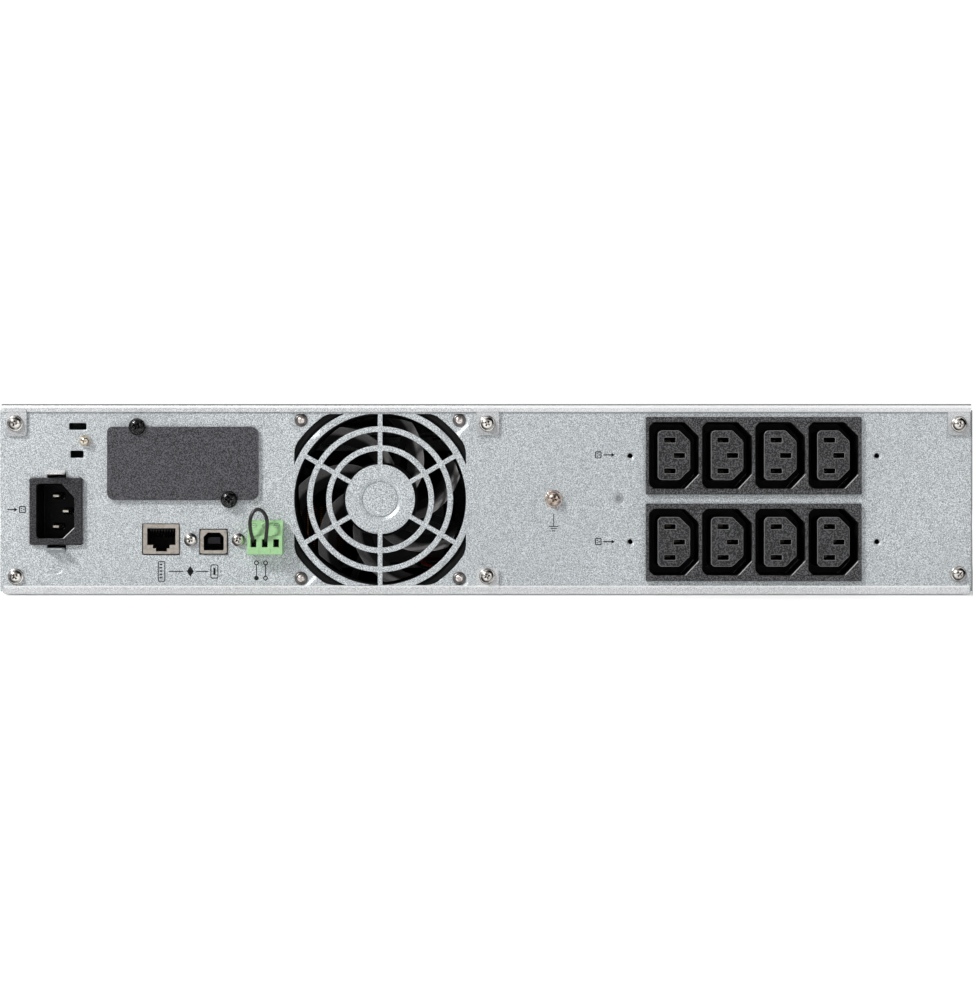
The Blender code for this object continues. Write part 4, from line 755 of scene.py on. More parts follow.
for x in (-140, 0, 140):
    cuts.append(top_dish(lambda d, x=x: stadium(x, -15, 120, 7 - d, 90, 12), 0.5, 3.0))
cover = cut(cover, *cuts)
piece("cover_sheet", cover, ZINC_LIGHT, bevel=0.26, seg=3, angle=40, replaces="top_cover")

# ---- base ---------------------------------------------------------------------------------------------
R = 1.6
outer = [(-W / 2, 84.8)] + [(-W / 2 + R - R * math.cos(math.radians(t)), R - R * math.sin(math.radians(t))) for t in range(0, 91, 15)]
outer += [(W / 2 - R + R * math.sin(math.radians(t)), R - R * math.cos(math.radians(t))) for t in range(0, 91, 15)] + [(W / 2, 84.8)]
inner = [(W / 2 - 7, 84.8), (W / 2 - 7, 83.8), (W / 2 - 1, 83.8), (W / 2 - 1, 1.6), (W / 2 - 1.6, 1), (-W / 2 + 1.6, 1), (-W / 2 + 1, 1.6), (-W / 2 + 1, 83.8), (-W / 2 + 7, 83.8), (-W / 2 + 7, 84.8)]
base = prism([outer + inner], "y", P_IN + 0.12, Y_SHEET)
sec = [(Y_BACK + 1.3 - 1.3 * math.cos(math.radians(t)), 1.3 - 1.3 * math.sin(math.radians(t))) for t in range(0, 91, 15)] + [(Y_BACK + 4, 0.0), (Y_BACK + 4, 1.0), (Y_BACK + 1.5, 1.0), (Y_BACK + 1.0, 1.5), (Y_BACK + 1.2, 4.0), (Y_BACK + 0.3, 4.0)]
lip = prism([sec], "x", -W / 2 + 0.9, W / 2 - 0.9)
tab = prism([soften([(-4.5, 2.0), (5.5, 2.0), (5.5, 12.0), (-4.5, 12.0)], 1.5, 6)], "y", Y_BACK, Y_BACK + 1)
corner = [prism([rect(-W / 2 + 0.5, -207.3, 1.6, 83.0), circle(-212.8, 77.3, 2.0), circle(-212.8, 8.1, 2.0)], "y", -216.4, -215.4),
          prism([rect(207.3, W / 2 - 0.5, 1.6, 83.0), circle(213.4, 76.9, 2.0), circle(213.4, 9.2, 2.0)], "y", -216.4, -215.4),
          prism([rect(-W / 2 + 0.5, 6.6, 0.5, 83.0), rounded(-170, -20, 12, 74, 4)], "y", Y_SHEET - 1, Y_SHEET)]
posts = [lathe([(0, 0.5), (3.0, 0.5), (3.0, 9.7), (0, 9.7)], "z", p, 6) for p in ((-200, -140), (-200, 150), (-12, -140), (-12, 150))]
posts += [lathe([(0, 0.5), (2.6, 0.5), (2.6, 16.1), (0, 16.1)], "z", p, 6) for p in ((-155, -170), (-94, -170))]
base = add(base, lip, tab, *corner, *posts)
cuts = [lathe([(0, Y_BACK - 2), (2.2, Y_BACK - 2), (2.2, Y_BACK + 1.6), (0, Y_BACK + 1.6)], "y", PANEL_SCREWS[3], 28)]
for s in (-1, 1):
    x = s * W / 2
    cuts += [prism([stadium(42 + 9 * i, 43, 17, 2.0, 90, 8)], "x", min(x - 2, x + 2), max(x - 2, x + 2)) for i in range(10)]
    cuts += [lathe([(0, s * (W / 2 - 3)), (2.0, s * (W / 2 - 3)), (2.0, s * (W / 2 + 3)), (0, s * (W / 2 + 3))], "x", (y, z), 24) for y, z in ((158, 20), (158, 66))]
    for y, z in ((-190, 74), (-60, 74), (60, 74), (150, 77), (-190, 10), (-60, 10), (60, 10)):
        cuts.append(lathe([(0, s * (W / 2 - 0.45)), (1.6, s * (W / 2 - 0.45)), (2.6, s * (W / 2 - 0.05)), (2.75, s * (W / 2 + 1)), (0, s * (W / 2 + 1))], "x", (y, z), 28))
base = cut(base, *cuts)
piece("base_sheet", base, ZINC_LIGHT, bevel=0.26, seg=3, angle=40, replaces="chassis_base")

# =====================================================================================================
# screws
# =====================================================================================================
def cross(r, depth, y):
    """Cutter for a cross recess whose mouth is at height y, pointing in +Y."""
    out = []
    for top, k in ((y - 1.5, 1.0), (y, 1.0), (y + depth * 0.6, 0.72), (y + depth, 0.3)):
        w = r * 0.26 * (0.7 + 0.3 * k)
        L = r * k
        out.append([(x, top, z) for x, z in ((L, -w), (L, w), (w, w), (w, L), (-w, L), (-w, w), (-L, w), (-L, -w), (-w, -w), (-w, -L), (w, -L), (w, -w))])
    return loft(out)


def pan_screw(name, x, z, seat, r, h, shank, length, mat, body="case", washer=0.0, spin=0.0, node=None, dome=1.0, serrated=False, recess=0.46, place=None):
    n = 44
    top = seat - h
    base_y = seat - (0.75 if washer else 0)
    prof = [(0, top)]
    for i in range(1, 13):
        t = i / 12
        prof.append((r * math.sin(t * math.pi / 2), top + (base_y - top - 0.35) * (1 - math.cos(t * math.pi / 2)) * 0.98))
    prof += [(r, base_y - 0.3), (r * 0.97, base_y - 0.05), (r * 0.94, base_y), (shank, base_y), (shank, seat + length), (shank * 0.6, seat + length + 0.6), (0, seat + length + 0.6)]
    o = lathe(prof, "y", (0, 0), n)
    o = cut(o, turned(cross(r * recess, h * 0.72, top), Matrix.Rotation(spin, 4, "Y")))
    parts = [o]
    if washer:
        wob = (lambda a, q: q * (1 - 0.045 * (0.5 + 0.5 * math.cos(12 * a))) if q > washer * 0.9 else q) if serrated else None
        parts.append(lathe([(shank + 0.15, base_y + 0.05), (washer * 0.86, base_y + 0.05), (washer * 0.97, base_y + 0.2), (washer, base_y + 0.38), (washer * 0.97, base_y + 0.62), (shank + 0.15, base_y + 0.7)],
                           "y", (0, 0), n * (3 if serrated else 1), closed=True, wobble=wob))
    o = merge(*parts) if len(parts) > 1 else parts[0]
    turned(o, place if place is not None else Matrix.Translation((x, 0, z)))
    return piece(name, o, mat, body=body, bevel=0.06, seg=2, angle=45, replaces=node or ())


SPINS = (0.3, 0.9, 0.55, 1.2, 0.15, 0.75)
for i, (x, z) in enumerate(PANEL_SCREWS):
    seat = Y_BACK - 0.02 if i in (0, 2, 3, 4) else P_OUT - 0.02
    nm = ("top_left", "bottom_left", "top_middle", "bottom_middle", "top_right", "bottom_right")[i]
    pan_screw("screw_case_" + nm, x, z, seat, 3.05, 2.9, 1.7, 6.0, NICKEL, washer=3.6, spin=SPINS[i], node="case_screw_" + nm)
pan_screw("screw_earth", GROUND[0], GROUND[1], P_OUT - 0.02, 3.45, 4.2, 1.95, 8.0, EARTH, washer=4.1, spin=0.4, node="ground_screw", serrated=True)
pan_screw("screw_standoff", STUD[0], STUD[1], P_OUT - 0.02, 2.7, 4.0, 1.6, 6.0, STRAW, spin=0.2, node="standoff_screw")
for i, (nm, a, b) in enumerate((("top_left", -1, 1), ("bottom_left", -1, -1), ("top_right", 1, 1), ("bottom_right", 1, -1))):
    pan_screw("screw_fan_" + nm, FAN_X + a * FAN_HOLE, FAN_Z + b * FAN_HOLE, P_OUT + 0.45, 1.8, 1.5, 1.4, 8.0, ROSY, spin=0.4 + i, node="fan_screw_" + nm, recess=0.6)
    eye = lathe([(1.7, P_OUT + 0.62), (1.7, P_OUT - 0.1), (1.95, P_OUT - 0.28), (2.3, P_OUT - 0.22), (2.75, P_OUT + 0.15), (2.95, P_OUT + 0.45), (2.95, P_OUT + 0.68)], "y", (FAN_X + a * FAN_HOLE, FAN_Z + b * FAN_HOLE), 48, closed=True)
    piece("fan_eyelet_" + nm, eye, EYELET, bevel=0.05)
for i, (nm, (x, z)) in enumerate(zip(("left", "right"), COMM_SCREWS)):
    pan_screw("screw_port_" + nm, x, z, P_OUT - 0.02, 3.1, 2.4, 1.45, 6.0, NICKEL, spin=0.5 + i * 0.6, node="port_screw_" + nm)
for i, (nm, (x, z)) in enumerate(zip(("left", "right"), SLOT_SCREWS)):
    pan_screw("screw_slot_" + nm, x, z, -219.85, 3.85, 2.7, 1.4, 7.0, BLACK_SCREW, body="slot_cover", spin=0.5 + i, node="slot_cover_screw_" + nm)

# =====================================================================================================
# inlet, outlets, slot cover
# =====================================================================================================
well = soften([(INLET_X + 8.9 - 5.2, 25.4), (INLET_X + 8.9, 30.4), (INLET_X + 8.9, 43.6), (INLET_X + 8.9 - 5.6, 50.0), (INLET_X - 8.1, 50.0), (INLET_X - 8.1, 25.4)], 1.5, 6)
o = prism([rounded(-206.3, -182.4, 22.35, 52.75, 1.1, 6), well], "y", -220.0, -218.0)
o = add(o, prism([rounded(INLET_X - 10.3, INLET_X + 10.3, INLET_Z - 14.05, INLET_Z + 14.05, 0.8, 4), well], "y", -218.6, -203.0))
PINS = ((INLET_X - 0.9, INLET_Z + 7.0), (INLET_X - 0.9, INLET_Z - 7.0), (INLET_X + 3.5, INLET_Z))
o = add(o, prism([rounded(INLET_X - 10.2, INLET_X + 10.2, INLET_Z - 13.95, INLET_Z + 13.95, 0.8, 4)] + [rect(x - 2.2, x + 2.2, z - 1.2, z + 1.2) for x, z in PINS], "y", -203.4, -200.4))
piece("inlet_body", o, INLET, bevel=0.5, seg=4, tri=True, replaces="inlet_housing")
pins = []
for x, z in PINS:
    pins.append(loft([[(x + a * u, y, z + b * w) for a, b in ((-1, -1), (1, -1), (1, 1), (-1, 1))] for y, u, w in ((-190, 2.0, 1.0), (-209.6, 2.0, 1.0), (-211.6, 1.3, 0.5))]))
piece("inlet_pins", merge(*pins), CONTACT, bevel=0.12, replaces="inlet_contacts")
piece("inlet_carrier", boxes((INLET_X - 8.5, INLET_X + 8.5, -200.1, -196.5, INLET_Z - 11.5, INLET_Z + 11.5)), JACKP, bevel=0.6)

for label, zc in zip(("upper", "lower"), OUT_Z):
    zc2 = zc + 0.1
    wells = [soften([(x + 11.2 - 6.3, zc2 - 15.0), (x + 11.2, zc2 - 8.3), (x + 11.2, zc2 + 8.6), (x + 11.2 - 6.3, zc2 + 15.0), (x - 11.2 + 2.0, zc2 + 15.0), (x - 11.2, zc2 + 13.0), (x - 11.2, zc2 - 13.0), (x - 11.2 + 2.0, zc2 - 15.0)], 1.8, 6) for x in OUT_X]
    o = prism([rounded(71.9, 169.3, zc - 17.5, zc + 17.5, 0.5, 3)] + wells, "y", -219.9, -218.0)
    o = add(o, prism([rect(73.0, 168.2, zc - 16.2, zc + 16.2)] + wells, "y", -218.4, -199.0))
    slots = {x: [rect(x - 4.4, x + 0.8, zc2 + s * 6.95 - 1.15, zc2 + s * 6.95 + 1.15) for s in (-1, 1)] + [rect(x - 0.1, x + 5.0, zc2 - 1.15, zc2 + 1.15)] for x in OUT_X}
    o = add(o, prism([rect(73.2, 168.0, zc - 16.0, zc + 16.0)] + [s for x in OUT_X for s in slots[x]], "y", -199.4, -196.0))
    cores = []
    for x in OUT_X:
        core = soften([(x + 7.3 - 4.9, zc2 - 11.1), (x + 7.3, zc2 - 6.2), (x + 7.3, zc2 + 6.4), (x + 7.3 - 4.9, zc2 + 11.3), (x - 7.3 + 1.2, zc2 + 11.3), (x - 7.3, zc2 + 10.0), (x - 7.3, zc2 - 9.9), (x - 7.3 + 1.2, zc2 - 11.1)], 1.8, 6)
        cores.append(prism([core] + slots[x], "y", -219.55, -199.2))
    piece("outlet_cores_" + label, merge(*cores), CORE, bevel=0.36, seg=4, angle=50, tri=True)
    piece("outlets_" + label, o, OUTLET, bevel=0.42, seg=4, angle=50, tri=True, replaces="outlet_block_" + label)
blades = [(x + dx - 2.1, x + dx + 2.1, -201.0, -190.7, zc + 0.1 + dz - 0.65, zc + 0.1 + dz + 0.65) for zc in OUT_Z for x in OUT_X for dx, dz in ((-1.8, 6.95), (-1.8, -6.95), (2.4, 0))]
piece("outlet_contacts", boxes(*blades), CONTACT_DIM, bevel=0.15)
o = prism([rounded(66, 176, 5.0, 81.5, 1.5)] + [circle(x, z, 1.8, 20) for x in (70, 172) for z in (9, 77)], "y", -190.6, -189.0)
piece("outlet_pcb", o, PCB, bevel=0.1, replaces="outlet_board")
piece("outlet_relays", boxes(*[(x, x + 16, -189.0, -172, z, z + 14) for x in (84, 110, 136) for z in (16, 50)]), JACKP, bevel=0.6, seg=3)

o = prism([rounded(SLOT[0], SLOT[1] - 0.35, SLOT[2], SLOT[3], (3.4, 2.4, 3.4, 3.4), 10)], "y", -219.8, -218.0)
o = cut(o, *[lathe([(0, -222), (2.0, -222), (2.0, -216), (0, -216)], "y", p, 28) for p in SLOT_SCREWS])
piece("slot_lid", o, COVERP, body="slot_cover", bevel=0.4, seg=3, replaces="slot_cover")

# =====================================================================================================
# ports
# =====================================================================================================
x0, x1, z0, z1 = JACK
STEPS = ((-153.3, -140.5, 22.4, 29.95), (-150.7, -143.15, 20.85, 23.5), (-149.35, -144.4, 19.5, 22.0))


def jack_cavity(ya, yb, grow=0.0):
    return [boxes((a - grow, b + grow, ya + 0.01 * i, yb - 0.01 * i, c - grow, d + grow)) for i, (a, b, c, d) in enumerate(STEPS)]


o = cut(prism([rounded(x0, x1, z0, z1, 0.5, 4)], "y", -218.5, -217.9), *jack_cavity(-222, -214))
o = add(o, prism([rect(x0 + 0.1, x1 - 0.1, z0 + 0.1, z1 - 0.1), rect(x0 + 0.6, x1 - 0.6, z0 + 0.6, z1 - 0.6)], "y", -218.1, -199.0))
piece("serial_shell", o, BRASSY, bevel=0.1, clamp=True, replaces="serial_jack")
o = cut(boxes((x0 + 0.7, x1 - 0.7, -217.8, -200.0, z0 + 0.7, z1 - 0.7)), *jack_cavity(-219, -205.0, 0.03))
piece("serial_insert", o, PIT_BLACK_AND_SHADE)
ribs = boxes(*[(-152.2 + k * 1.27, -151.75 + k * 1.27, -216.6, -204.5, 28.6, 29.9) for k in range(9)])
piece("serial_ribs", ribs, JACKP, bevel=0.08)
wires = [prism([[(-215.4, 29.2), (-215.0, 29.5), (-208.0, 26.2), (-206.0, 26.0), (-206.0, 25.7), (-208.2, 25.8)]], "x", -151.55 + k * 1.27, -151.15 + k * 1.27) for k in range(8)]
piece("serial_contacts", merge(*wires), CONTACT_DIM)

x0, x1, z0, z1 = USB
dshape = soften([(-127.7, 20.0), (-118.7, 20.0), (-118.7, 26.1), (-120.5, 28.0), (-125.9, 28.0), (-127.7, 26.1)], 0.5, 4)
o = prism([rounded(x0, x1, z0, z1, 0.9, 5), dshape], "y", -218.9, -218.2)
o = add(o, prism([rounded(x0 + 0.3, x1 - 0.3, z0 + 0.3, z1 - 0.3, 0.7, 4), rounded(x0 + 0.75, x1 - 0.75, z0 + 0.75, z1 - 0.75, 0.6, 4)], "y", -218.5, -202.0))
piece("usb_shell", o, BRASSY, bevel=0.22, seg=3, replaces="usb_jack")
o = cut(boxes((x0 + 0.85, x1 - 0.85, -217.9, -203.0, z0 + 0.85, z1 - 0.85)), prism([dshape], "y", -219, -208.5))
piece("usb_insert", o, PIT_BLACK_AND_SHADE, bevel=0.08)
o = boxes((-126.1, -120.3, -217.2, -207.0, 22.9, 26.0))
piece("usb_tongue", o, TONGUE, bevel=0.35, seg=3)

# ---- pluggable terminal ---------------------------------------------------------------------------------
side = soften([(-225.6, 18.2), (-225.6, 26.4), (-224.3, 27.2), (-221.7, 32.4), (-220.5, 33.5), (-218.1, 33.5), (-218.1, 18.2)], 0.35, 3)
o = prism([side], "x", TERM_X - 7.8, TERM_X + 7.8)
o = add(o, boxes((TERM_X - 6.8, TERM_X + 6.8, -218.6, -207.0, 20.0, 30.0)))
cuts = []
for k in (-1, 0, 1):
    x = TERM_X + k * PITCH
    cuts.append(boxes((x - 1.3, x + 1.3, -228, -219.5, 21.5, 25.1)))
    cuts.append(turned(lathe([(0, 0), (1.35, 0), (1.35, 8), (0, 8)], "z", (0, 0), 24), Matrix.Translation((x, -221.2, 30.6)) @ Matrix.Rotation(math.radians(62), 4, "X")))
    cuts.append(boxes((x - 0.9, x + 0.9, -214.5, -206, 22.6, 24.4)))
    cuts.append(boxes((x - 1.5, x + 1.5, -221.5, -219.0, 32.9, 34.5)))
cuts += [boxes((TERM_X + k * PITCH - 0.13, TERM_X + k * PITCH + 0.13, -226.5, -225.35, 17.5, 21.0)) for k in (-0.5, 0.5)]
o = cut(o, *cuts)
piece("terminal_body", o, GREEN, body="terminal_plug", bevel=0.2, seg=3, replaces="terminal_plug")
# the clamps at the back of the wire holes take the black cavity material: painted shade in the holes
clamps = boxes(*[(TERM_X + k * PITCH - 1.28, TERM_X + k * PITCH + 1.28, -219.9, -219.4, 21.52, 25.08) for k in (-1, 0, 1)])
piece("terminal_clamps", clamps, PIT_BLACK_AND_SHADE, body="terminal_plug", bevel=0.1)
heads = []
for k in (-1, 0, 1):
    x = TERM_X + k * PITCH
    s = lathe([(0, -0.9), (1.0, -0.85), (1.25, -0.6), (1.25, 1.2), (0, 1.2)], "z", (0, 0), 24)
    s = cut(s, boxes((-2, 2, -0.18, 0.18, -2, -0.5)))
    heads.append(turned(s, Matrix.Translation((x, -221.2, 30.6)) @ Matrix.Rotation(math.radians(62 + 180), 4, "X") @ Matrix.Translation((0, 0, -0.35))))
piece("terminal_screws", merge(*heads), GREEN_PALE, body="terminal_plug", bevel=0.05)
o = cut(boxes((TERM_X - 8.2, TERM_X + 8.2, -216.4, -204.0, 18.4, 31.6)), boxes((TERM_X - 7.1, TERM_X + 7.1, -218, -206.0, 19.6, 30.4)))
o = add(o, *[boxes((TERM_X + k * PITCH - 0.5, TERM_X + k * PITCH + 0.5, -213.5, -205.5, 23.0, 24.0)) for k in (-1, 0, 1)])
piece("terminal_socket", o, GREEN_D, bevel=0.15, replaces="terminal_header")


def cable(name, path, radius, mat, body, replaces=(), order=4, res=10):
    c = bpy.data.curves.new(name, "CURVE")
    c.dimensions, c.bevel_depth, c.bevel_resolution, c.use_fill_caps = "3D", radius, 6, True
    s = c.splines.new("NURBS")
    s.points.add(len(path) - 1)
    for p, co in zip(s.points, path):
        p.co = (*co, 1)
    s.order_u, s.use_endpoint_u, s.resolution_u = order, True, res
    o = link(name, c)
    bpy.context.view_layer.update()
    mesh = bpy.data.meshes.new_from_object(o.evaluated_get(bpy.context.evaluated_depsgraph_get()))
    bpy.data.objects.remove(o)
    bm = bmesh.new()
    bm.from_mesh(mesh)
    bmesh.ops.remove_doubles(bm, verts=bm.verts, dist=1e-4)
    return piece(name, from_bm(bm), mat, body=body, replaces=replaces)


PATH = [(-104.58, -219.9, 23.4), (-104.65, -223.6, 23.6), (-104.95, -227.0, 25.8), (-105.9, -228.6, 30.2), (-105.8, -228.2, 36.0), (-102.3, -227.4, 39.8), (-98.4, -228.2, 36.0),
        (-97.9, -228.9, 31.6), (-98.7, -227.6, 26.2), (-99.35, -223.6, 23.6), (-99.5, -219.9, 23.4)]
cable("jumper_wire", PATH, 0.84, WIREP, "terminal_plug", replaces="terminal_jumper")

# =====================================================================================================
# fan
# =====================================================================================================
fx0, fx1, fz0, fz1 = FAN_X - 40, FAN_X + 40, FAN_Z - 40, FAN_Z + 40
loops = [rounded(fx0, fx1, fz0, fz1, 4, 8), circle(FAN_X, FAN_Z, 38.6, 96)]
loops += [circle(FAN_X + a * FAN_HOLE, FAN_Z + b * FAN_HOLE, 2.15, 24) for a in (-1, 1) for b in (-1, 1)]
o = prism(loops, "y", FAN_Y0, FAN_Y1)
waist = cut(boxes((fx0 - 1, fx1 + 1, FAN_Y0 + 4, FAN_Y1 - 4, fz0 - 1, fz1 + 1)), lathe([(0, FAN_Y0), (39.6, FAN_Y0), (39.6, FAN_Y1), (0, FAN_Y1)], "y", (FAN_X, FAN_Z), 96))
o = cut(o, waist, lathe([(0, FAN_Y0 - 1), (43.3, FAN_Y0 - 1), (43.3, FAN_Y0 + 0.15), (41.9, FAN_Y0 + 0.9), (40.0, FAN_Y0 + 2.3), (38.7, FAN_Y0 + 3.6), (0, FAN_Y0 + 3.6)], "y", (FAN_X, FAN_Z), 120))
struts = []
for k in range(4):
    s = boxes((12, 39.2, FAN_Y1 - 2.4, FAN_Y1 - 0.2, -1.6, 1.6))
    struts.append(turned(s, Matrix.Translation((FAN_X, 0, FAN_Z)) @ Matrix.Rotation(math.radians(20 + 90 * k), 4, "Y")))
seat = lathe([(3.4, FAN_Y1 - 14), (4.6, FAN_Y1 - 14), (4.6, FAN_Y1 - 2.6), (16, FAN_Y1 - 2.6), (16, FAN_Y1), (3.4, FAN_Y1)], "y", (FAN_X, FAN_Z), 48, closed=True)
o = add(o, seat, *struts)
piece("fan_housing", o, FANP, bevel=0.35, seg=2, replaces="fan_frame")
hy = FAN_Y0 + 1.6
hub = lathe([(0, hy + 0.5), (5.5, hy + 0.5), (5.8, hy), (13.6, hy), (15.4, hy + 0.4), (16.5, hy + 1.4), (16.9, hy + 3.0), (17.0, FAN_Y1 - 3.6), (14.6, FAN_Y1 - 3.6), (14.6, hy + 2.4), (2.4, hy + 2.4), (1.5, hy + 3.2), (1.5, FAN_Y1 - 3.4), (0, FAN_Y1 - 3.4)],
            "y", (FAN_X, FAN_Z), 72)
piece("fan_hub", hub, FANP, body="fan", replaces="fan_rotor")


def blade(k, n_r=14, n_c=14):
    bm = bmesh.new()
    g = {}
    for i in range(n_r):
        t = i / (n_r - 1)
        r = 16.2 + t * (37.5 - 16.2)
        pitch, chord, sweep = math.radians(52 - 3 * t), 15.0 + 4.5 * t, math.radians(46 * t - 20)
        for j in range(n_c):
            u = j / (n_c - 1) - 0.5
            y = (FAN_Y0 + 9.4) + chord * u * math.sin(pitch) * 0.9 + 1.2 * (1 - 4 * u * u)
            a = math.radians(360 / 7 * k) + sweep + chord * u * math.cos(pitch) / r
            thick = 0.18 + 0.55 * math.sqrt(max(0.0, 1 - (2 * u) ** 2))
            for s in (-1, 1):
                g[i, j, s] = bm.verts.new((FAN_X + r * math.cos(a), min(max(y + s * thick, FAN_Y0 + 1.2), FAN_Y1 - 4.2), FAN_Z + r * math.sin(a)))
    for i in range(n_r - 1):
        for j in range(n_c - 1):
            bm.faces.new([g[i, j, 1], g[i + 1, j, 1], g[i + 1, j + 1, 1], g[i, j + 1, 1]])
            bm.faces.new([g[i, j, -1], g[i, j + 1, -1], g[i + 1, j + 1, -1], g[i + 1, j, -1]])
        bm.faces.new([g[i, 0, 1], g[i, 0, -1], g[i + 1, 0, -1], g[i + 1, 0, 1]])
        bm.faces.new([g[i, n_c - 1, 1], g[i + 1, n_c - 1, 1], g[i + 1, n_c - 1, -1], g[i, n_c - 1, -1]])
    for j in range(n_c - 1):
        bm.faces.new([g[0, j, 1], g[0, j + 1, 1], g[0, j + 1, -1], g[0, j, -1]])
        bm.faces.new([g[n_r - 1, j, 1], g[n_r - 1, j, -1], g[n_r - 1, j + 1, -1], g[n_r - 1, j + 1, 1]])
    return from_bm(bm)


piece("fan_blades", merge(*[blade(k) for k in range(7)]), BLADE, body="fan")

# =====================================================================================================
# printed marks: plain lines and simple symbols
# =====================================================================================================
def mark(name, loops_list):
    parts = [prism(loops if isinstance(loops[0][0], (list, tuple)) else [loops], "y", P_OUT - 0.03, P_OUT + 0.01) for loops in loops_list]
    return piece(name, merge(*parts) if len(parts) > 1 else parts[0], INK, smooth=False)


def frame_mark(x0, x1, z0, z1, w=0.46, r=0.5):
    return [rounded(x0, x1, z0, z1, r, 4), rounded(x0 + w, x1 - w, z0 + w, z1 - w, max(0.05, r - w), 4)]


def arrow(x0, x1, z, head=1.5, w=0.26):
    s = 1 if x1 > x0 else -1
    return [(x0, z - w), (x1 - s * head, z - w), (x1 - s * head, z - head * 0.62), (x1, z), (x1 - s * head, z + head * 0.62), (x1 - s * head, z + w), (x0, z + w)]


mark("mark_earth", [rect(30.4 - 0.18, 30.4 + 0.18, 30.9, 36.4), rect(30.4 - 2.15, 30.4 + 2.15, 30.6, 31.0), rect(30.4 - 1.4, 30.4 + 1.4, 29.6, 30.0), rect(30.4 - 0.8, 30.4 + 0.8, 28.6, 29.0)])
ix, iz = -212.2, 38.4
mark("mark_input", [arrow(ix - 4.4, ix + 0.2, iz), frame_mark(ix + 0.9, ix + 3.9, iz - 1.6, iz + 1.6), rect(ix + 1.7, ix + 2.3, iz - 0.75, iz - 0.3), rect(ix + 1.7, ix + 2.3, iz + 0.3, iz + 0.75), rect(ix + 2.6, ix + 3.2, iz - 0.22, iz + 0.22)])
for nm, oz in (("upper", 63.1), ("lower", 23.9)):
    ox = 53.6
    mark("mark_output_" + nm, [frame_mark(ox - 4.6, ox - 1.6, oz - 1.6, oz + 1.6), rect(ox - 3.8, ox - 3.2, oz - 0.75, oz - 0.3), rect(ox - 3.8, ox - 3.2, oz + 0.3, oz + 0.75), rect(ox - 2.9, ox - 2.3, oz - 0.22, oz + 0.22),
                               arrow(ox - 0.8, ox + 4.4, oz)])
jx = -146.9
mark("mark_serial", [frame_mark(jx - 1.7, jx + 1.7, 5.8, 15.0, 0.42, 0.5)] + [rect(jx - 0.9, jx + 0.35, 7.3 + k * 1.5, 7.9 + k * 1.5) for k in range(5)])
mark("mark_line_left", [rect(-143.6, -137.0, 10.2, 10.62)])
mark("mark_line_right", [rect(-131.2, -125.7, 10.2, 10.62)])
mark("mark_either", [[[(-135.5, 10.45), (-133.9, 12.9), (-132.3, 10.45), (-133.9, 8.0)], [(-135.1, 10.45), (-133.9, 8.6), (-132.7, 10.45), (-133.9, 12.3)]], rect(-134.4, -133.4, 9.95, 10.95)])
mark("mark_usb_socket", [frame_mark(-124.8, -121.2, 7.2, 13.6, 0.42, 0.8), rect(-123.5, -122.5, 8.8, 12.0)])
for nm, tx in (("left", -104.0), ("right", -99.9)):
    mark("mark_terminal_" + nm, [rect(tx - 0.2, tx + 0.2, 8.4, 13.3), [circle(tx, 14.3, 1.1, 24), circle(tx, 14.3, 0.62, 24)], [circle(tx, 7.4, 1.05, 24)] if nm == "left" else [circle(tx, 7.4, 1.1, 24), circle(tx, 7.4, 0.62, 24)]])

# =====================================================================================================
# front: bezel, battery cover, display, keys
# =====================================================================================================
def shell(x0, x1, z0, z1, y0, y1, edge, r, n=6):
    """A block whose front rim, at y1, is rounded by a quarter circle."""
    rings = [[(x, y0, z) for x, z in rounded(x0, x1, z0, z1, r, 6)]]
    for i in range(n + 1):
        t = math.radians(90 * i / n)
        d = edge * (1 - math.cos(t))
        rings.append([(x, y1 - edge + edge * math.sin(t), z) for x, z in rounded(x0 + d, x1 - d, z0 + d, z1 - d, max(0.3, r - d), 6)])
    return loft(rings)


def flare(outline, y1, chamfer, depth):
    """Cutter for a hole through a front wall at y1, with a chamfered mouth. outline(grow) gives the edge."""
    return loft([[(x, y1 - depth, z) for x, z in outline(0)], [(x, y1 - chamfer, z) for x, z in outline(0)], [(x, y1, z) for x, z in outline(chamfer)], [(x, y1 + 1.5, z) for x, z in outline(chamfer + 0.01)]])


def slot_rows(x0, x1):
    return [(x0, x1, 16 + 9 * k, 20 + 9 * k) for k in range(7)]


def louvres(rows):
    """Slats that hang behind each slot and slope down towards the inside."""
    return merge(*[prism([[(216.7, z1 + 1.5), (216.7, z1 + 0.5), (210.6, z0 - 2.4), (210.2, z0 - 1.6), (210.4, z0 - 1.3)]], "x", x0 - 1.2, x1 + 1.2) for x0, x1, z0, z1 in rows])


BX0, BX1, CX0, CX1, FZ0, FZ1, FY = -218.7, 9.6, 10.2, 218.7, 0.5, 85.6, 219.0
body_ = shell(BX0, BX1, FZ0, FZ1, 190.3, FY, 2.0, 2.8)
body_ = cut(body_, prism([rounded(BX0 + 2.2, BX1 - 2.2, FZ0 + 2.2, FZ1 - 2.2, 1.4, 5)], "y", 189, 216.4))
cuts = [flare(lambda g, a=a: rounded(a[0] - g, a[1] + g, a[2] - g, a[3] + g, 1.9 + g, 6), FY, 0.7, 5) for a in slot_rows(-206, -152)]
cuts.append(flare(lambda g: rounded(-102 - g, -30 + g, 30.5 - g, 71.5 + g, 2 + g, 6), FY, 0.8, 5))
cuts.append(flare(lambda g: circle(POWER[0], POWER[1], 7.4 + g, 48), FY, 0.7, 5))
cuts += [flare(lambda g, x=x: rounded(x - 7.3 - g, x + 7.3 + g, KEY_Z - 3.8 - g, KEY_Z + 3.8 + g, 1.2 + g, 5), FY, 0.5, 5) for x in KEYS.values()]
cuts += [flare(lambda g, z=z: circle(-114.0, z, 1.25 + g, 24), FY, 0.3, 5) for z in (36, 43, 50)]
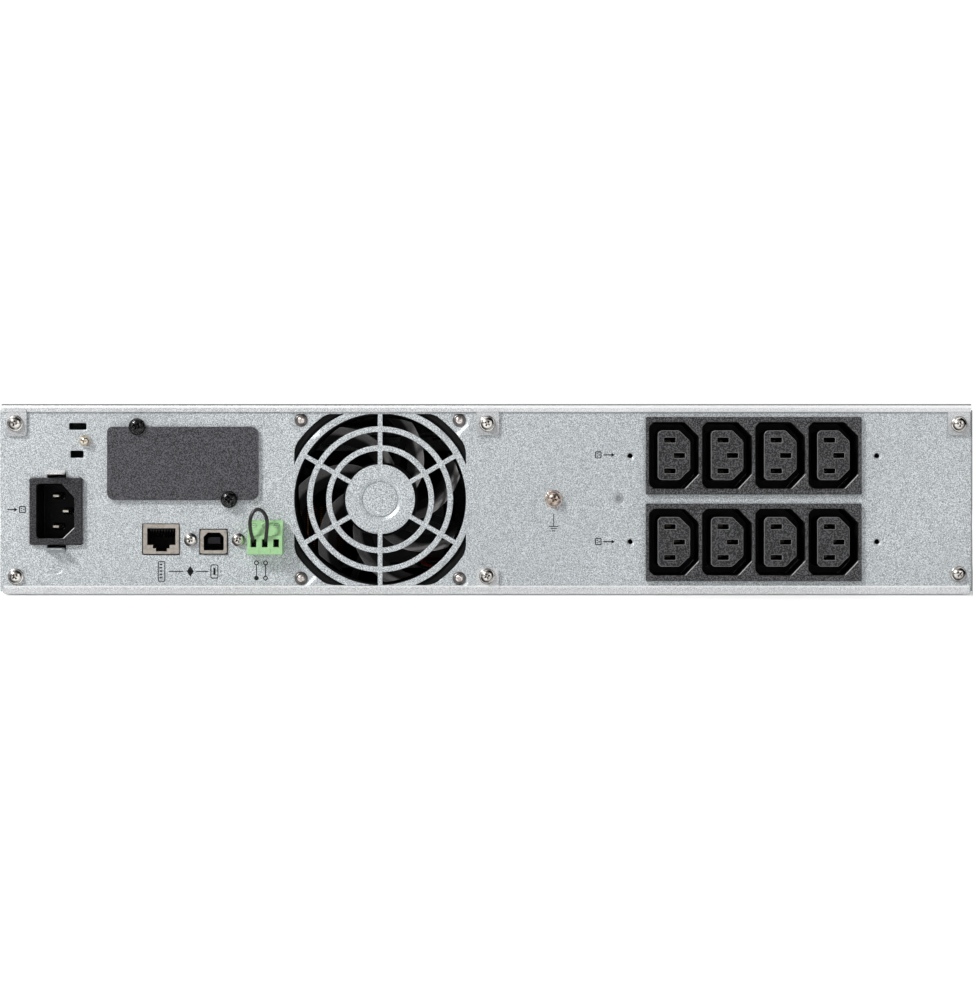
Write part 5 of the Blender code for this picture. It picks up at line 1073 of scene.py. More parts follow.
body_ = cut(body_, *cuts)
body_ = cut(body_, boxes((BX0 - 1, BX1 + 1, FY - 0.7, FY + 1, 8.4, 9.2)), boxes((-146.6, -145.9, FY - 0.5, FY + 1, 12.2, 77.8)))
posts = [lathe([(0, 216.6), (3.4, 216.6), (3.4, 204.4), (1.2, 204.4), (1.2, 212), (0, 212)], "y", p, 20) for p in ((-140, 12), (-26, 12), (-140, 75), (-26, 75))]
body_ = add(body_, *posts)
piece("bezel_body", body_, BEZEL, bevel=0.18, seg=2, angle=40, replaces="front_bezel")
piece("bezel_louvres", louvres(slot_rows(-206, -152)), BEZEL, bevel=0.15)
piece("bezel_filter", prism([rounded(-210, -149, 11, 77, 2, 4)], "y", 204.5, 209.4), FOAM, bevel=0.5)
clips = [boxes((x - 4, x + 4, 187.4, 191.2, z - 0.6, z + 0.6)) for x in (-190, -110, -30) for z in (4.2, 81.6)]
piece("bezel_clips", merge(*clips), BEZEL, bevel=0.25)

lid = shell(CX0, CX1, FZ0, FZ1, 190.3, FY, 2.0, 2.8)
lid = cut(lid, prism([rounded(CX0 + 2.2, CX1 - 2.2, FZ0 + 2.2, FZ1 - 2.2, 1.4, 5)], "y", 189, 216.4))
rows = slot_rows(24, 106) + slot_rows(118, 200)
lid = cut(lid, *[flare(lambda g, a=a: rounded(a[0] - g, a[1] + g, a[2] - g, a[3] + g, 1.9 + g, 6), FY, 0.7, 5) for a in rows])
lid = cut(lid, boxes((CX0 - 1, CX1 + 1, FY - 0.7, FY + 1, 8.4, 9.2)),
          loft([[(CX1 + 2, 205.5, z) for z in (34, 52)][::-1] + [(CX1 + 2, 214.5, z) for z in (34, 52)], [(CX1 - 1.1, 207.0, 50.5), (CX1 - 1.1, 207.0, 35.5), (CX1 - 1.1, 213.0, 35.5), (CX1 - 1.1, 213.0, 50.5)]]))
lid = add(lid, *[lathe([(0, 186.8), (1.5, 187.0), (2.1, 188.4), (2.1, 191.0), (3.2, 191.6), (3.4, 216.8), (0, 216.8)], "y", p, 24) for p in PEGS])
piece("cover_body", lid, BEZEL, body="battery_cover", bevel=0.18, seg=2, angle=40, replaces="battery_cover")
piece("cover_louvres", louvres(rows), BEZEL, body="battery_cover", bevel=0.15)
piece("cover_filter", prism([rounded(15, 214, 7, 79, 2, 4)] + [circle(x, z, 4.4, 24) for x, z in PEGS], "y", 204.5, 209.4), FOAM, body="battery_cover", bevel=0.5)

frame_ = loft([[(x, y, z) for x, z in rounded(-104.4 + d, -27.6 - d, 28.1 + d, 73.9 - d, 3.4 - d, 8)] for y, d in ((218.6, 0), (219.5, 0), (219.8, 0.35), (219.85, 0.9))])
frame_ = cut(frame_, flare(lambda g: rounded(-102.2 - g, -29.8 + g, 30.3 - g, 71.7 + g, 1.9 + g, 8), 219.85, 0.45, 4))
piece("display_trim", frame_, TRIM, bevel=0.08)
window = loft([[(x, y, z) for x, z in rounded(-101.6 + d, -30.4 - d, 30.9 + d, 71.1 - d, 1.8 - d, 8)] for y, d in ((216.0, 0), (218.2, 0), (218.4, 0.3))])
window = add(window, prism([rounded(-104.5, -27.5, 28, 74, 1, 4)], "y", 213.1, 216.1))
piece("display_glass", window, GLASS, bevel=0.06, replaces="display_window")
module = prism([rounded(-146, -20, 8.5, 78, 1.0, 4)] + [circle(x, z, 1.4, 16) for x, z in ((-140, 12), (-26, 12), (-140, 75), (-26, 75))], "y", 202.6, 204.2)
piece("display_board", module, PCB, bevel=0.1, replaces="display_module")
piece("display_lcd", prism([rounded(-102, -30, 30.5, 73, 0.8, 4)], "y", 204.3, 212.0), JACKP, bevel=0.4)
piece("display_film", prism([rounded(-99.5, -32.5, 33.2, 70.6, 0.6, 4)], "y", 211.9, 212.35), LCD, bevel=0.05)
switches = [boxes((x - 3.1, x + 3.1, 204.1, 206.0, z - 3.1, z + 3.1)) for x, z in [(x, KEY_Z) for x in KEYS.values()] + [POWER]]
switches += [lathe([(0, 205.9), (1.6, 205.9), (1.6, 206.3), (0, 206.3)], "y", p, 20) for p in [(x, KEY_Z) for x in KEYS.values()] + [POWER]]
switches += [boxes((-60, -44, 199.4, 202.7, 12, 17)), boxes((-130, -118, 200.6, 202.7, 58, 70)), boxes((-90, -78, 201.2, 202.7, 40, 52)), boxes((-66, -60, 201.0, 202.7, 56, 64))]
piece("display_switches", merge(*switches), JACKP, bevel=0.15)

SEGMENTS = {"0": "abcdef", "2": "abged", "3": "abgcd", "5": "afgcd", "1": "bc", "8": "abcdefg"}


def digit(ch, u, v, h=8.0):
    """Seven-segment figure; u runs to the right as seen from the front."""
    w, t = h * 0.52, h * 0.11
    bars = {"a": (u, u + w, v + h - t, v + h), "g": (u, u + w, v + h / 2 - t / 2, v + h / 2 + t / 2), "d": (u, u + w, v, v + t),
            "f": (u, u + t, v + h / 2, v + h), "b": (u + w - t, u + w, v + h / 2, v + h), "e": (u, u + t, v, v + h / 2), "c": (u + w - t, u + w, v, v + h / 2)}
    out = []
    for s in SEGMENTS[ch]:
        a, b, c, d = bars[s]
        k = t * 0.18
        out.append(rect(-66 - b + k, -66 - a - k, c + k, d - k))
    return out


def front_marks(name, loops_list, y, mat, body="case", t=0.05):
    parts = [prism(loops if isinstance(loops[0][0], (list, tuple)) else [loops], "y", y - 0.02, y + t) for loops in loops_list]
    return piece(name, merge(*parts) if len(parts) > 1 else parts[0], mat, body=body, smooth=False)


marks_ = digit("2", -8.5, 54.5) + digit("3", -2.6, 54.5) + digit("0", 3.3, 54.5)
marks_ += [rect(-66 + 30.5 - 0.0 - 1.2 - 4.2 * i, -66 + 30.5 - 4.2 * i + 1.6, 38, 40 + 2.2 * i) for i in range(5)]
marks_ += [rect(-66 - 31 + 4.0 * i, -66 - 31 + 4.0 * i + 2.8, 38, 40 + 2.2 * (4 - i)) for i in range(5)]
marks_ += [frame_mark(-66 - 10, -66 + 10, 38, 46, 0.6, 0.8), rect(-66 - 11.6, -66 - 10.4, 40.4, 43.6)] + [rect(-66 + 8.6 - 4.4 * i - 3.2, -66 + 8.6 - 4.4 * i, 39.3, 44.7) for i in range(3)]
marks_ += [rect(-97, -35, 50.6, 50.9), rect(-97, -83, 66.2, 67.6), rect(-49, -35, 66.2, 67.6)]
front_marks("display_segments", marks_, 218.41, LIT)

for nm, x in KEYS.items():
    cap = loft([[(a, y, b) for a, b in rounded(x - 7 + d, x + 7 - d, KEY_Z - 3.5 + d, KEY_Z + 3.5 - d, 1.1, 5)] for y, d in ((211.0, 0), (219.5, 0), (219.9, 0.12), (220.12, 0.4), (220.2, 0.9))])
    cap = add(cap, prism([rounded(x - 8.4, x + 8.4, KEY_Z - 4.9, KEY_Z + 4.9, 0.8, 4)], "y", 213.6, 216.05), lathe([(0, 207.8), (1.5, 207.8), (1.5, 213.8), (0, 213.8)], "y", (x, KEY_Z), 20))
    piece("key_" + nm, cap, KEYP, body=nm + "_key", bevel=0.08, replaces=nm + "_key")
front_marks("icon_up", [[(-88 - 2.0, KEY_Z - 1.2), (-88 + 2.0, KEY_Z - 1.2), (-88, KEY_Z + 1.5)]], 220.2, ICON, body="up_key")
front_marks("icon_down", [[(-66 - 2.0, KEY_Z + 1.2), (-66, KEY_Z - 1.5), (-66 + 2.0, KEY_Z + 1.2)]], 220.2, ICON, body="down_key")
front_marks("icon_enter", [[(-44 + 2.6, KEY_Z), (-44 + 0.9, KEY_Z + 1.3), (-44 + 0.9, KEY_Z + 0.28), (-44 - 1.9, KEY_Z + 0.28), (-44 - 1.9, KEY_Z + 1.5), (-44 - 2.5, KEY_Z + 1.5), (-44 - 2.5, KEY_Z - 0.28), (-44 + 0.9, KEY_Z - 0.28), (-44 + 0.9, KEY_Z - 1.3)]],
            220.2, ICON, body="enter_key")
px, pz = POWER
cap = lathe([(0, 219.7), (3.0, 219.8), (5.4, 220.1), (6.3, 220.2), (6.8, 219.9), (7.0, 219.4), (7.0, 216.0), (8.8, 216.0), (8.8, 213.7), (7.0, 213.7), (7.0, 211), (1.6, 211), (1.6, 207.8), (0, 207.8)], "y", POWER, 64)
piece("key_power", cap, KEYP, body="power_key", bevel=0.06, replaces="power_key")
ring_ = [(px + 2.5 * math.sin(math.radians(t)), pz + 2.5 * math.cos(math.radians(t))) for t in range(40, 321, 10)]
ring_ += [(px + 1.95 * math.sin(math.radians(t)), pz + 1.95 * math.cos(math.radians(t))) for t in range(320, 39, -10)]
front_marks("icon_power", [ring_, rect(px - 0.28, px + 0.28, pz + 0.5, pz + 3.0)], 219.82, ICON, body="power_key")
halo = lathe([(8.2, 218.7), (8.2, 219.1), (8.4, 219.22), (8.9, 219.22), (9.1, 219.1), (9.1, 218.7)], "y", POWER, 64, closed=True)
piece("power_halo", halo, HALO)
pips = [lathe([(0, 219.25), (0.7, 219.2), (1.15, 218.9), (1.15, 214), (0, 214)], "y", (-114.0, z), 24) for z in (36, 43, 50)]
piece("status_pips", merge(*pips), HALO)

# ---- rack ears --------------------------------------------------------------------------------------------
for nm, s in (("left", -1), ("right", 1)):
    prof = [(219.3, 110), (221.3, 110)] + arc(221.9, 187.4, 0.6, 180, 90, 4) + [(222.5, 188.0), (222.5, 190.0)] + arc(222.1, 187.2, 2.8, 90, 180, 8)
    leg = prism([[(s * x, y) for x, y in prof]], "z", 8, 78)
    wing = prism([[(s * x, z) for x, z in rounded(221.8, 241.3, 0.3, 85.8, (3.0, 0.15, 0.15, 3.0), 6)]] + [[(s * x, z) for x, z in stadium(EAR_HOLE_X, z0, 1.9, 3.3, 0, 12)] for z0 in EAR_Z], "y", 188.05, 189.95)
    o = add(leg, wing)
    o = cut(o, *[lathe([(0, 150), (2.1, 150), (2.1, 250), (0, 250)], "x", (y, z), 28) if s > 0 else lathe([(0, -250), (2.1, -250), (2.1, -150), (0, -150)], "x", (y, z), 28) for y, z in ((158, 20), (158, 66))],
            *[(lambda m: turned(boxes((-4, 4, -4, 4, -3, 3)), m))(Matrix.Translation((s * 220.3, 110, z)) @ Matrix.Rotation(math.radians(45), 4, "X")) for z in (8, 78)])
    piece("ear_" + nm, o, EARP, bevel=0.3, seg=3, angle=40, replaces="rack_ear_" + nm)
    for lv, z in (("lower", 20), ("upper", 66)):
        pan_screw("screw_ear_%s_%s" % (nm, lv), 0, 0, 0, 3.8, 2.0, 1.7, 4.2, NICKEL, spin=0.4 + z, node="ear_screw_%s_%s" % (nm, lv), place=Matrix.Translation((s * 221.55, 158, z)) @ Matrix.Rotation(math.radians(90 * s), 4, "Z"))

# =====================================================================================================
# battery drawer
# =====================================================================================================
D = "battery_drawer"


tray = prism([[(11.0, 33.9), (11.0, 3.6)] + arc(12.6, 3.6, 1.6, 180, 270, 5) + arc(213.9, 3.6, 1.6, 270, 360, 5) + [(215.5, 33.9), (214.3, 33.9), (214.3, 3.8)] + arc(213.7, 3.8, 0.6, 360, 270, 3) + arc(12.8, 3.8, 0.6, 270, 180, 3) + [(12.2, 33.9)]], "y", -67.9, 188.3)
front = prism([rounded(11.0, 215.5, 2.0, 80.0, (3, 3, 0.4, 0.4), 5), rounded(84, 142, 72.2, 77.2, 2.4, 6)] + [circle(x, z, 2.6, 24) for x, z in PEGS], "y", 188.0, 189.4)
rear = prism([rounded(11.1, 215.4, 2.1, 60, (4, 4, 0.4, 0.4), 5), rounded(150, 172, 44, 54, 2, 4)] + [circle(x, 52, 3, 20) for x in (40, 70, 100)], "y", -68.0, -66.8)
tray = add(tray, front, rear)
tray = cut(tray, *[prism([stadium(-30 + 34 * i, 20, 8, 2.2, 0, 8)], "x", x - 2, x + 2) for i in range(6) for x in (11.6, 214.9)],
           *[prism([stadium(45 + 46 * i, y, 12, 2.4, 0, 8)], "z", 0, 5) for i in range(4) for y in (-40, 160)])
piece("tray_sheet", tray, ZINC, body=D, bevel=0.2, seg=2, angle=40, replaces="battery_tray")
grip = loft([[(x, y, z) for x, z in rounded(82.4 - d, 143.6 + d, 70.6 - d, 78.8 + d, 3.2, 6)] for y, d in ((189.45, 0), (190.6, 0), (191.0, -0.5))])
grip = cut(grip, prism([rounded(85, 141, 73.2, 76.2, 1.4, 6)], "y", 188, 193))
piece("tray_grip", grip, BEZEL, body=D, bevel=0.25, seg=3)


def battery(name, x0, x1, y0, y1, lid_axis, tabs, replaces):
    """Sealed block lying on its side, lid towards lid_axis ('x' = +X, 'y' = -Y)."""
    z0, z1 = 3.6, 68.6
    t = 13.0
    if lid_axis == "x":
        case = boxes((x0, x1 - t - 0.5, y0, y1, z0, z1))
        lid = boxes((x1 - t, x1, y0 - 0.0, y1, z0, z1))
        neck = boxes((x1 - t - 1.5, x1 - t + 1, y0 + 0.8, y1 - 0.8, z0 + 0.8, z1 - 0.8))
        strip = boxes((x1 - 0.6, x1 + 0.35, y0 + 30, y1 - 30, z0 + 18, z1 - 18))
    else:
        case = boxes((x0, x1, y0 + t + 0.5, y1, z0, z1))
        lid = boxes((x0, x1, y0, y0 + t, z0, z1))
        neck = boxes((x0 + 0.8, x1 - 0.8, y0 + t - 1, y0 + t + 1.5, z0 + 0.8, z1 - 0.8))
        strip = boxes((x0 + 30, x1 - 30, y0 - 0.35, y0 + 0.6, z0 + 18, z1 - 18))
    if lid_axis == "x":
        case = cut(case, *[boxes((x0 + 12, x1 - t - 9, y0 + 18 + 24 * i, y0 + 36 + 24 * i, z1 - 0.45, z1 + 1)) for i in range(5)])
    else:
        case = cut(case, *[boxes((x0 + 18 + 24 * i, x0 + 36 + 24 * i, y0 + t + 9, y1 - 12, z1 - 0.45, z1 + 1)) for i in range(5)])
    piece(name + "_case", case, BATT, body=D, bevel=1.1, seg=3, angle=40, replaces=replaces)
    piece(name + "_neck", neck, JACKP, body=D, bevel=0.3)
    piece(name + "_lid", lid, BATT_LID, body=D, bevel=1.1, seg=3, angle=40)
    piece(name + "_vent_strip", strip, BATT_LID, body=D, bevel=0.3, seg=2)
    for i, u in enumerate(tabs):
        if lid_axis == "x":
            m = Matrix.Translation((x1, u, 33.2))
        else:
            m = Matrix.Translation((u, y0, 33.2)) @ Matrix.Rotation(math.radians(-90), 4, "Z")
        well = lathe([(0, 0.1), (5.2, 0.1), (5.2, 0.7), (4.4, 1.1), (0, 1.1)], "x", (0, 0), 32)
        piece("%s_boss_%d" % (name, i), turned(well, m), RED if i == 0 else JACKP, body=D, bevel=0.1)
        tab = cut(boxes((0.6, 3.9, -0.4, 0.4, -3.15, 3.15)), lathe([(0, -3), (1.0, -3), (1.0, 3), (0, 3)], "y", (2.6, 0), 20))
        boot = cut(boxes((1.6, 3.95, -2.2, 2.2, -4.2, 4.2)), boxes((1.2, 4.5, -0.6, 0.6, -3.4, 3.4)))
        piece("%s_tab_%d" % (name, i), turned(tab, m), CONTACT, body=D, bevel=0.12)
        piece("%s_boot_%d" % (name, i), turned(boot, m), RED if i == 0 else WIREP, body=D, bevel=0.5, seg=3)


battery("cell_front_left", 14, 108, 35.5, 186.5, "x", (49.5, 171.5), "battery_front_left")
battery("cell_front_right", 113, 207, 35.5, 186.5, "x", (49.5, 171.5), "battery_front_right")
battery("cell_rear", 14, 165, -60, 34, "y", (28, 150), "battery_rear")

plug = cut(boxes((176, 204, -72.9, -68.2, 24, 44)), *[boxes((x - 2.2, x + 2.2, -75, -60, 31.8, 36.2)) for x in (185, 195)])
nose = cut(boxes((180, 200, -82.0, -72.7, 27, 41)), *[boxes((x - 3.6, x + 3.6, -90, -74.5, 29.4, 38.6)) for x in (185, 195)])
plug = add(plug, nose, boxes((186, 194, -80, -72.5, 40.6, 42.2)))
piece("drawer_plug", plug, RED, body=D, bevel=0.4, seg=3, replaces="battery_plug")
piece("drawer_plug_pins", boxes(*[(x - 2.4, x + 2.4, -81.0, -73.8, 32.6, 35.4) for x in (185, 195)]), CONTACT, body=D, bevel=0.3)
o = boxes((176, 204, -90, -73.4, 23, 45), (182, 198, -88, -76, 1.2, 24))
o = cut(merge(o), boxes((179.3, 200.7, -84.5, -70, 26.2, 43.2)))
piece("case_socket", o, RED, bevel=0.4, seg=3, replaces="battery_socket")
cable("lead_red", [(185, -66.4, 34), (184, -58, 36), (175, -58, 44), (168.5, -62, 52), (160, -64, 50), (151.5, -65.2, 38), (150.2, -64.6, 33.2)], 1.5, RED, D)
cable("lead_black", [(195, -66.4, 34), (196, -50, 36), (195, -10, 42), (188, 20, 56), (174, 32, 68), (150, 38, 72.4), (124, 40, 71.8), (112.5, 44, 66), (110.5, 48, 50), (110.6, 49.5, 40), (110.9, 49.5, 36.2)], 1.3, WIREP, D)
cable("lead_link_a", [(28, -64.6, 33.2), (27.5, -65.2, 24), (20, -64.9, 14), (14.5, -64, 10), (13.2, -40, 9), (13.0, 20, 9), (13.0, 34.7, 12), (40, 34.75, 14), (90, 34.75, 14), (109, 36, 16), (110.5, 80, 20), (110.6, 150, 26), (110.8, 171.5, 31)], 0.8, WIREP, D)
cable("lead_link_b", [(210.9, 49.5, 33.2), (211.6, 60, 40), (211.4, 90, 48), (211.4, 130, 48), (211.6, 160, 40), (210.9, 171.5, 33.2)], 1.4, WIREP, D)

# =====================================================================================================
# inside
# =====================================================================================================
wall = prism([rect(-215.7, 186.5, 1.4, 82.8)] + [stadium(-150 + 36 * i, z, 9, 2.6, 0, 8) for i in range(9) for z in (56, 68)] + [rounded(-120, -96, 22, 44, 3, 4)], "x", 7.05, 7.95)
wall = add(wall, boxes((-3, 7.5, -215.4, 186.0, 1.3, 2.25)))
wall = add(wall, prism([rounded(-5.4, 7.4, 3.0, 82.7, 0.6, 3), circle(0.4, 77.2, 2.2, 20), circle(0.3, 8.3, 2.2, 20)], "y", -216.35, -215.45))
piece("divider_sheet", wall, ZINC_DARK_AND_SHADE, bevel=0.15, replaces="chassis_divider")

holes = [circle(x, y, 1.8, 16) for x, y in ((-200, -140), (-200, 150), (-12, -140), (-12, 150))]
o = prism([rounded(-208, -5, -152, 168, 2, 4)] + holes, "z", 10.0, 11.6)
piece("power_pcb", o, PCB, bevel=0.12, replaces="power_board")
blocks = [boxes((-60, -20, -140, -105, 11.5, 42)), boxes((-110, -82, 90, 150, 11.5, 34)), boxes((-40, -18, 20, 44, 11.5, 30)), boxes((-205, -190, 100, 150, 11.5, 26))]
blocks += [boxes((-128 + 20 * i, -113 + 20 * i, 52, 78, 11.5, 27)) for i in range(3)] + [boxes((-30, -16, 60 + 22 * i, 78 + 22 * i, 11.5, 22)) for i in range(4)]
piece("power_blocks", merge(*blocks), JACKP, bevel=0.8, seg=3)
core = boxes((-124, -100, -20, 26, 11.6, 46))
core = cut(core, boxes((-130, -90, -12, 18, 18, 40)))
piece("power_transformer_core", core, FERRITE, bevel=0.6, seg=3)
piece("power_transformer_winding", lathe([(4, -11.6), (10.6, -11.6), (11.0, -11), (11.2, 16.9), (10.6, 17.6), (4, 17.6)], "y", (-112, 29), 48, closed=True), COPPER, bevel=0.2)
cans = []
for x, y, r, h in ((-60, -30, 15, 57.3), (-30, -60, 9, 44), (-52, 70, 9, 38), (-70.5, 92, 8, 36), (-60, 110, 6, 30), (-46, 122, 6, 30), (-72, 124, 6, 30), (-166, 110, 8, 36), (-146, 112, 8, 36)):
    cans.append((x, y, r, h))
sleeves, tops = [], []
for x, y, r, h in cans:
    sleeves.append(lathe([(r * 0.2, 11.7), (r * 0.94, 11.7), (r * 0.94, 12.4), (r * 0.90, 13.0), (r, 14.2), (r, h - 1.4), (r * 0.96, h - 0.5), (r * 0.88, h - 0.1), (r * 0.84, h - 0.3), (r * 0.82, h - 1.0), (r * 0.2, h - 1.0)], "z", (x, y), 48, closed=True))
    top = lathe([(0, h - 2.0), (r * 0.83, h - 2.0), (r * 0.83, h - 0.45), (0, h - 0.4)], "z", (x, y), 40)
    tops.append(cut(top, boxes((x - r * 0.55, x + r * 0.55, y - 0.35, y + 0.35, h - 0.8, h + 1)), boxes((x - 0.35, x + 0.35, y - r * 0.55, y + r * 0.55, h - 0.8, h + 1))))
piece("capacitor_sleeves", merge(*sleeves), CAPSLEEVE, replaces="bus_capacitor")
piece("capacitor_tops", merge(*tops), ALU, bevel=0.1)
fins = [(-190 + 6.5 * i, -188 + 6.5 * i, -130, 70, 16, 62) for i in range(9)]
sink = boxes((-190, -136, -130, 70, 12.2, 16.6))
sink = add(sink, *[prism([[(a, 16.2), (a, 60.8), (a + 0.5, 62), (b - 0.5, 62), (b, 60.8), (b, 16.2)]], "y", -130.0 + 0.12 * i, 70.0 - 0.12 * i) for i, (a, b, *_) in enumerate(fins)])
piece("sink_extrusion", sink, ALU, bevel=0.18, replaces="heat_sink")
piece("sink_transistors", boxes(*[(-135.8, -131.6, -110 + 32 * i, -94 + 32 * i, 20, 41) for i in range(6)]), JACKP, bevel=0.5, seg=2)
ring_core = lathe([(10.6, 13.4), (22.4, 13.4), (22.8, 14), (22.8, 38), (22.4, 38.6), (10.6, 38.6), (10.2, 38), (10.2, 14)], "z", (-98, -70), 64, closed=True)
piece("choke_core", ring_core, FERRITE, replaces="filter_choke")
turns = []
for i in range(40):
    a = 9 * i
    if 84 < a < 96 or 264 < a < 276:
        continue
    seg_ = cut(boxes((9.3, 23.8, -0.75, 0.75, 12.2, 39.8)), boxes((10.5, 22.6, -2, 2, 13.5, 38.5)))
    turns.append(turned(seg_, Matrix.Translation((-98, -70, 0)) @ Matrix.Rotation(math.radians(a), 4, "Z")))
piece("choke_turns", merge(*turns), COPPER, bevel=0.45, seg=2)

o = prism([rounded(-160.5, -89.2, -215.8, -160, 1, 4)] + [circle(x, y, 1.6, 16) for x, y in ((-155, -166), (-94, -166))], "z", 16.5, 18.1)
piece("port_pcb", o, PCB, bevel=0.1, replaces="port_board")
chips = [boxes((-150, -130, -190, -172, 18.0, 21.4)), boxes((-118, -104, -186, -174, 18.0, 20.5)), boxes((-126, -122, -192, -188, 18.0, 19.4)), boxes((-126, -120, -180, -176, 18.0, 20.0)), boxes((-150, -120, -166, -162, 18.0, 25.0))]
piece("port_chips", merge(*chips), JACKP, bevel=0.25)
legs = [(x, x + 0.5, y0, y1, 18.05, 18.5) for x in [-149.2 + 1.6 * i for i in range(12)] for y0, y1 in ((-191.4, -189.8), (-172.2, -170.6))]
piece("port_chip_legs", boxes(*legs), CONTACT)

poles = []
for k in range(4):
    p = boxes((4.4, 13.6, -2.6, 2.6, -2.6, 2.6))
    p = turned(p, Matrix.Translation((FAN_X, FAN_Y1 - 9.5, FAN_Z)) @ Matrix.Rotation(math.radians(45 + 90 * k), 4, "Y"))
    poles.append(p)
st = lathe([(4.75, FAN_Y1 - 6.4), (7.5, FAN_Y1 - 6.4), (7.5, FAN_Y1 - 12.6), (4.75, FAN_Y1 - 12.6)], "y", (FAN_X, FAN_Z), 48, closed=True)
piece("stator_stack", merge(st, *poles), FERRITE, bevel=0.25, replaces="fan_stator")
coils = []
for k in range(4):
    c = cut(boxes((7.8, 12.4, -3.7, 3.7, -3.7, 3.7)), boxes((7, 13, -2.65, 2.65, -2.65, 2.65)))
    coils.append(turned(c, Matrix.Translation((FAN_X, FAN_Y1 - 9.5, FAN_Z)) @ Matrix.Rotation(math.radians(45 + 90 * k), 4, "Y")))
piece("stator_coils", merge(*coils), COPPER, bevel=0.9, seg=3)
cable("fan_lead_red", [(FAN_X + 30, FAN_Y1 + 0.9, 12), (FAN_X + 24, FAN_Y1 + 2.5, 11), (FAN_X + 14, FAN_Y1 + 14, 14), (FAN_X + 22, -165, 16), (-20, -150, 14), (-16, -144, 12.4)], 0.7, RED, "case")
cable("fan_lead_black", [(FAN_X + 28, FAN_Y1 + 0.9, 11), (FAN_X + 22, FAN_Y1 + 2.5, 10), (FAN_X + 12, FAN_Y1 + 14, 13), (FAN_X + 19, -165, 15), (-22.5, -150, 14), (-18.5, -144, 12.4)], 0.7, WIREP, "case")
cable("inlet_lead_live", [(INLET_X - 0.9, -190, INLET_Z + 7.0), (INLET_X - 2, -180, INLET_Z + 8), (INLET_X + 6, -168, 36), (-180, -158, 22), (-176, -148, 13)], 1.4, BROWN, "case")
cable("inlet_lead_neutral", [(INLET_X - 0.9, -190, INLET_Z - 7.0), (INLET_X - 2, -180, INLET_Z - 9), (INLET_X + 4, -170, 24), (-184, -158, 16), (-182, -148, 13)], 1.4, WIREP, "case")
cable("socket_lead_red", [(187, -89.9, 36), (187, -100, 36), (180, -130, 20), (120, -150, 6), (60, -150, 5), (12, -118, 20), (7.5, -108, 34), (2, -106, 34), (-6, -104, 24), (-12, -100, 13)], 1.7, RED, "case")
cable("socket_lead_black", [(194, -89.9, 33), (194, -102, 33), (186, -136, 18), (120, -155, 6), (60, -155, 5), (12, -112, 16), (7.5, -104, 30), (2, -100, 30), (-6, -98, 22), (-12, -94, 13)], 1.7, WIREP, "case")

bearing = lathe([(1.75, FAN_Y1 - 13.6), (3.0, FAN_Y1 - 13.6), (3.25, FAN_Y1 - 13.3), (3.25, FAN_Y1 - 3.2), (3.0, FAN_Y1 - 2.9), (1.75, FAN_Y1 - 2.9), (1.6, FAN_Y1 - 3.1), (1.6, FAN_Y1 - 13.4)], "y", (FAN_X, FAN_Z), 48, closed=True)
piece("bearing_sleeve", bearing, BRONZE, replaces="fan_bearing")

# =====================================================================================================
# stage, light and camera
# =====================================================================================================
def stage_material():
    m = Mat("studio_floor", rough=0.9)
    n = m.noise(6, 3.0)
    m.colour(m.mix(m.to_value(n, 0, 0.3), (0.93, 0.93, 0.93), (0.90, 0.905, 0.91)))
    m.b.inputs["Emission Color"].default_value = (1, 1, 1, 1)
    seen = m.n("ShaderNodeLightPath")
    far = m.n("ShaderNodeVectorMath", operation="LENGTH")
    m.l(m.co, far.inputs[0])
    both = m.n("ShaderNodeMath", operation="MULTIPLY")
    m.l(seen.outputs["Is Camera Ray"], both.inputs[0])
    m.l(m.to_value(far.outputs["Value"], 0.22, 1.1, 0.75, 2.6), both.inputs[1])
    m.l(both.outputs[0], m.b.inputs["Emission Strength"])
    return m.m


bm = bmesh.new()
bmesh.ops.create_circle(bm, cap_ends=True, segments=96, radius=9.0)
floor = from_bm(bm, "floor")
floor.name = "studio_floor"
floor.location = (0, 0, -0.0004)
floor.data.materials.append(stage_material())

world = bpy.data.worlds.new("studio")
bpy.context.scene.world = world
world.use_nodes = True
nt = world.node_tree
bg = nt.nodes["Background"]
tc = nt.nodes.new("ShaderNodeTexCoord")
sep = nt.nodes.new("ShaderNodeSeparateXYZ")
nt.links.new(tc.outputs["Generated"], sep.inputs[0])
ramp = nt.nodes.new("ShaderNodeValToRGB")
el = ramp.color_ramp.elements
el[0].position, el[0].color = 0.0, (0.30, 0.29, 0.28, 1)
el[1].position, el[1].color = 1.0, (1.0, 1.0, 1.0, 1)
mid = el.new(0.48)
mid.color = (0.42, 0.41, 0.41, 1)
hi = el.new(0.62)
hi.color = (0.85, 0.86, 0.87, 1)
add_ = nt.nodes.new("ShaderNodeMath")
add_.operation = "MULTIPLY_ADD"
add_.inputs[1].default_value, add_.inputs[2].default_value = 0.5, 0.5
nt.links.new(sep.outputs["Z"], add_.inputs[0])
nt.links.new(add_.outputs[0], ramp.inputs["Fac"])
path = nt.nodes.new("ShaderNodeLightPath")
mixn = nt.nodes.new("ShaderNodeMix")
mixn.data_type = "RGBA"
nt.links.new(path.outputs["Is Camera Ray"], mixn.inputs["Factor"])
nt.links.new(ramp.outputs["Color"], mixn.inputs[6])
mixn.inputs[7].default_value = (4.4, 4.4, 4.4, 1)


def value(op, a, b, c=None):
    node = nt.nodes.new("ShaderNodeMath")
    node.operation = op
    for sock, v in zip(node.inputs, (a, b, c)):
        if isinstance(v, (int, float)):
            sock.default_value = v
        elif v is not None:
            nt.links.new(v, sock)
    return node.outputs[0]


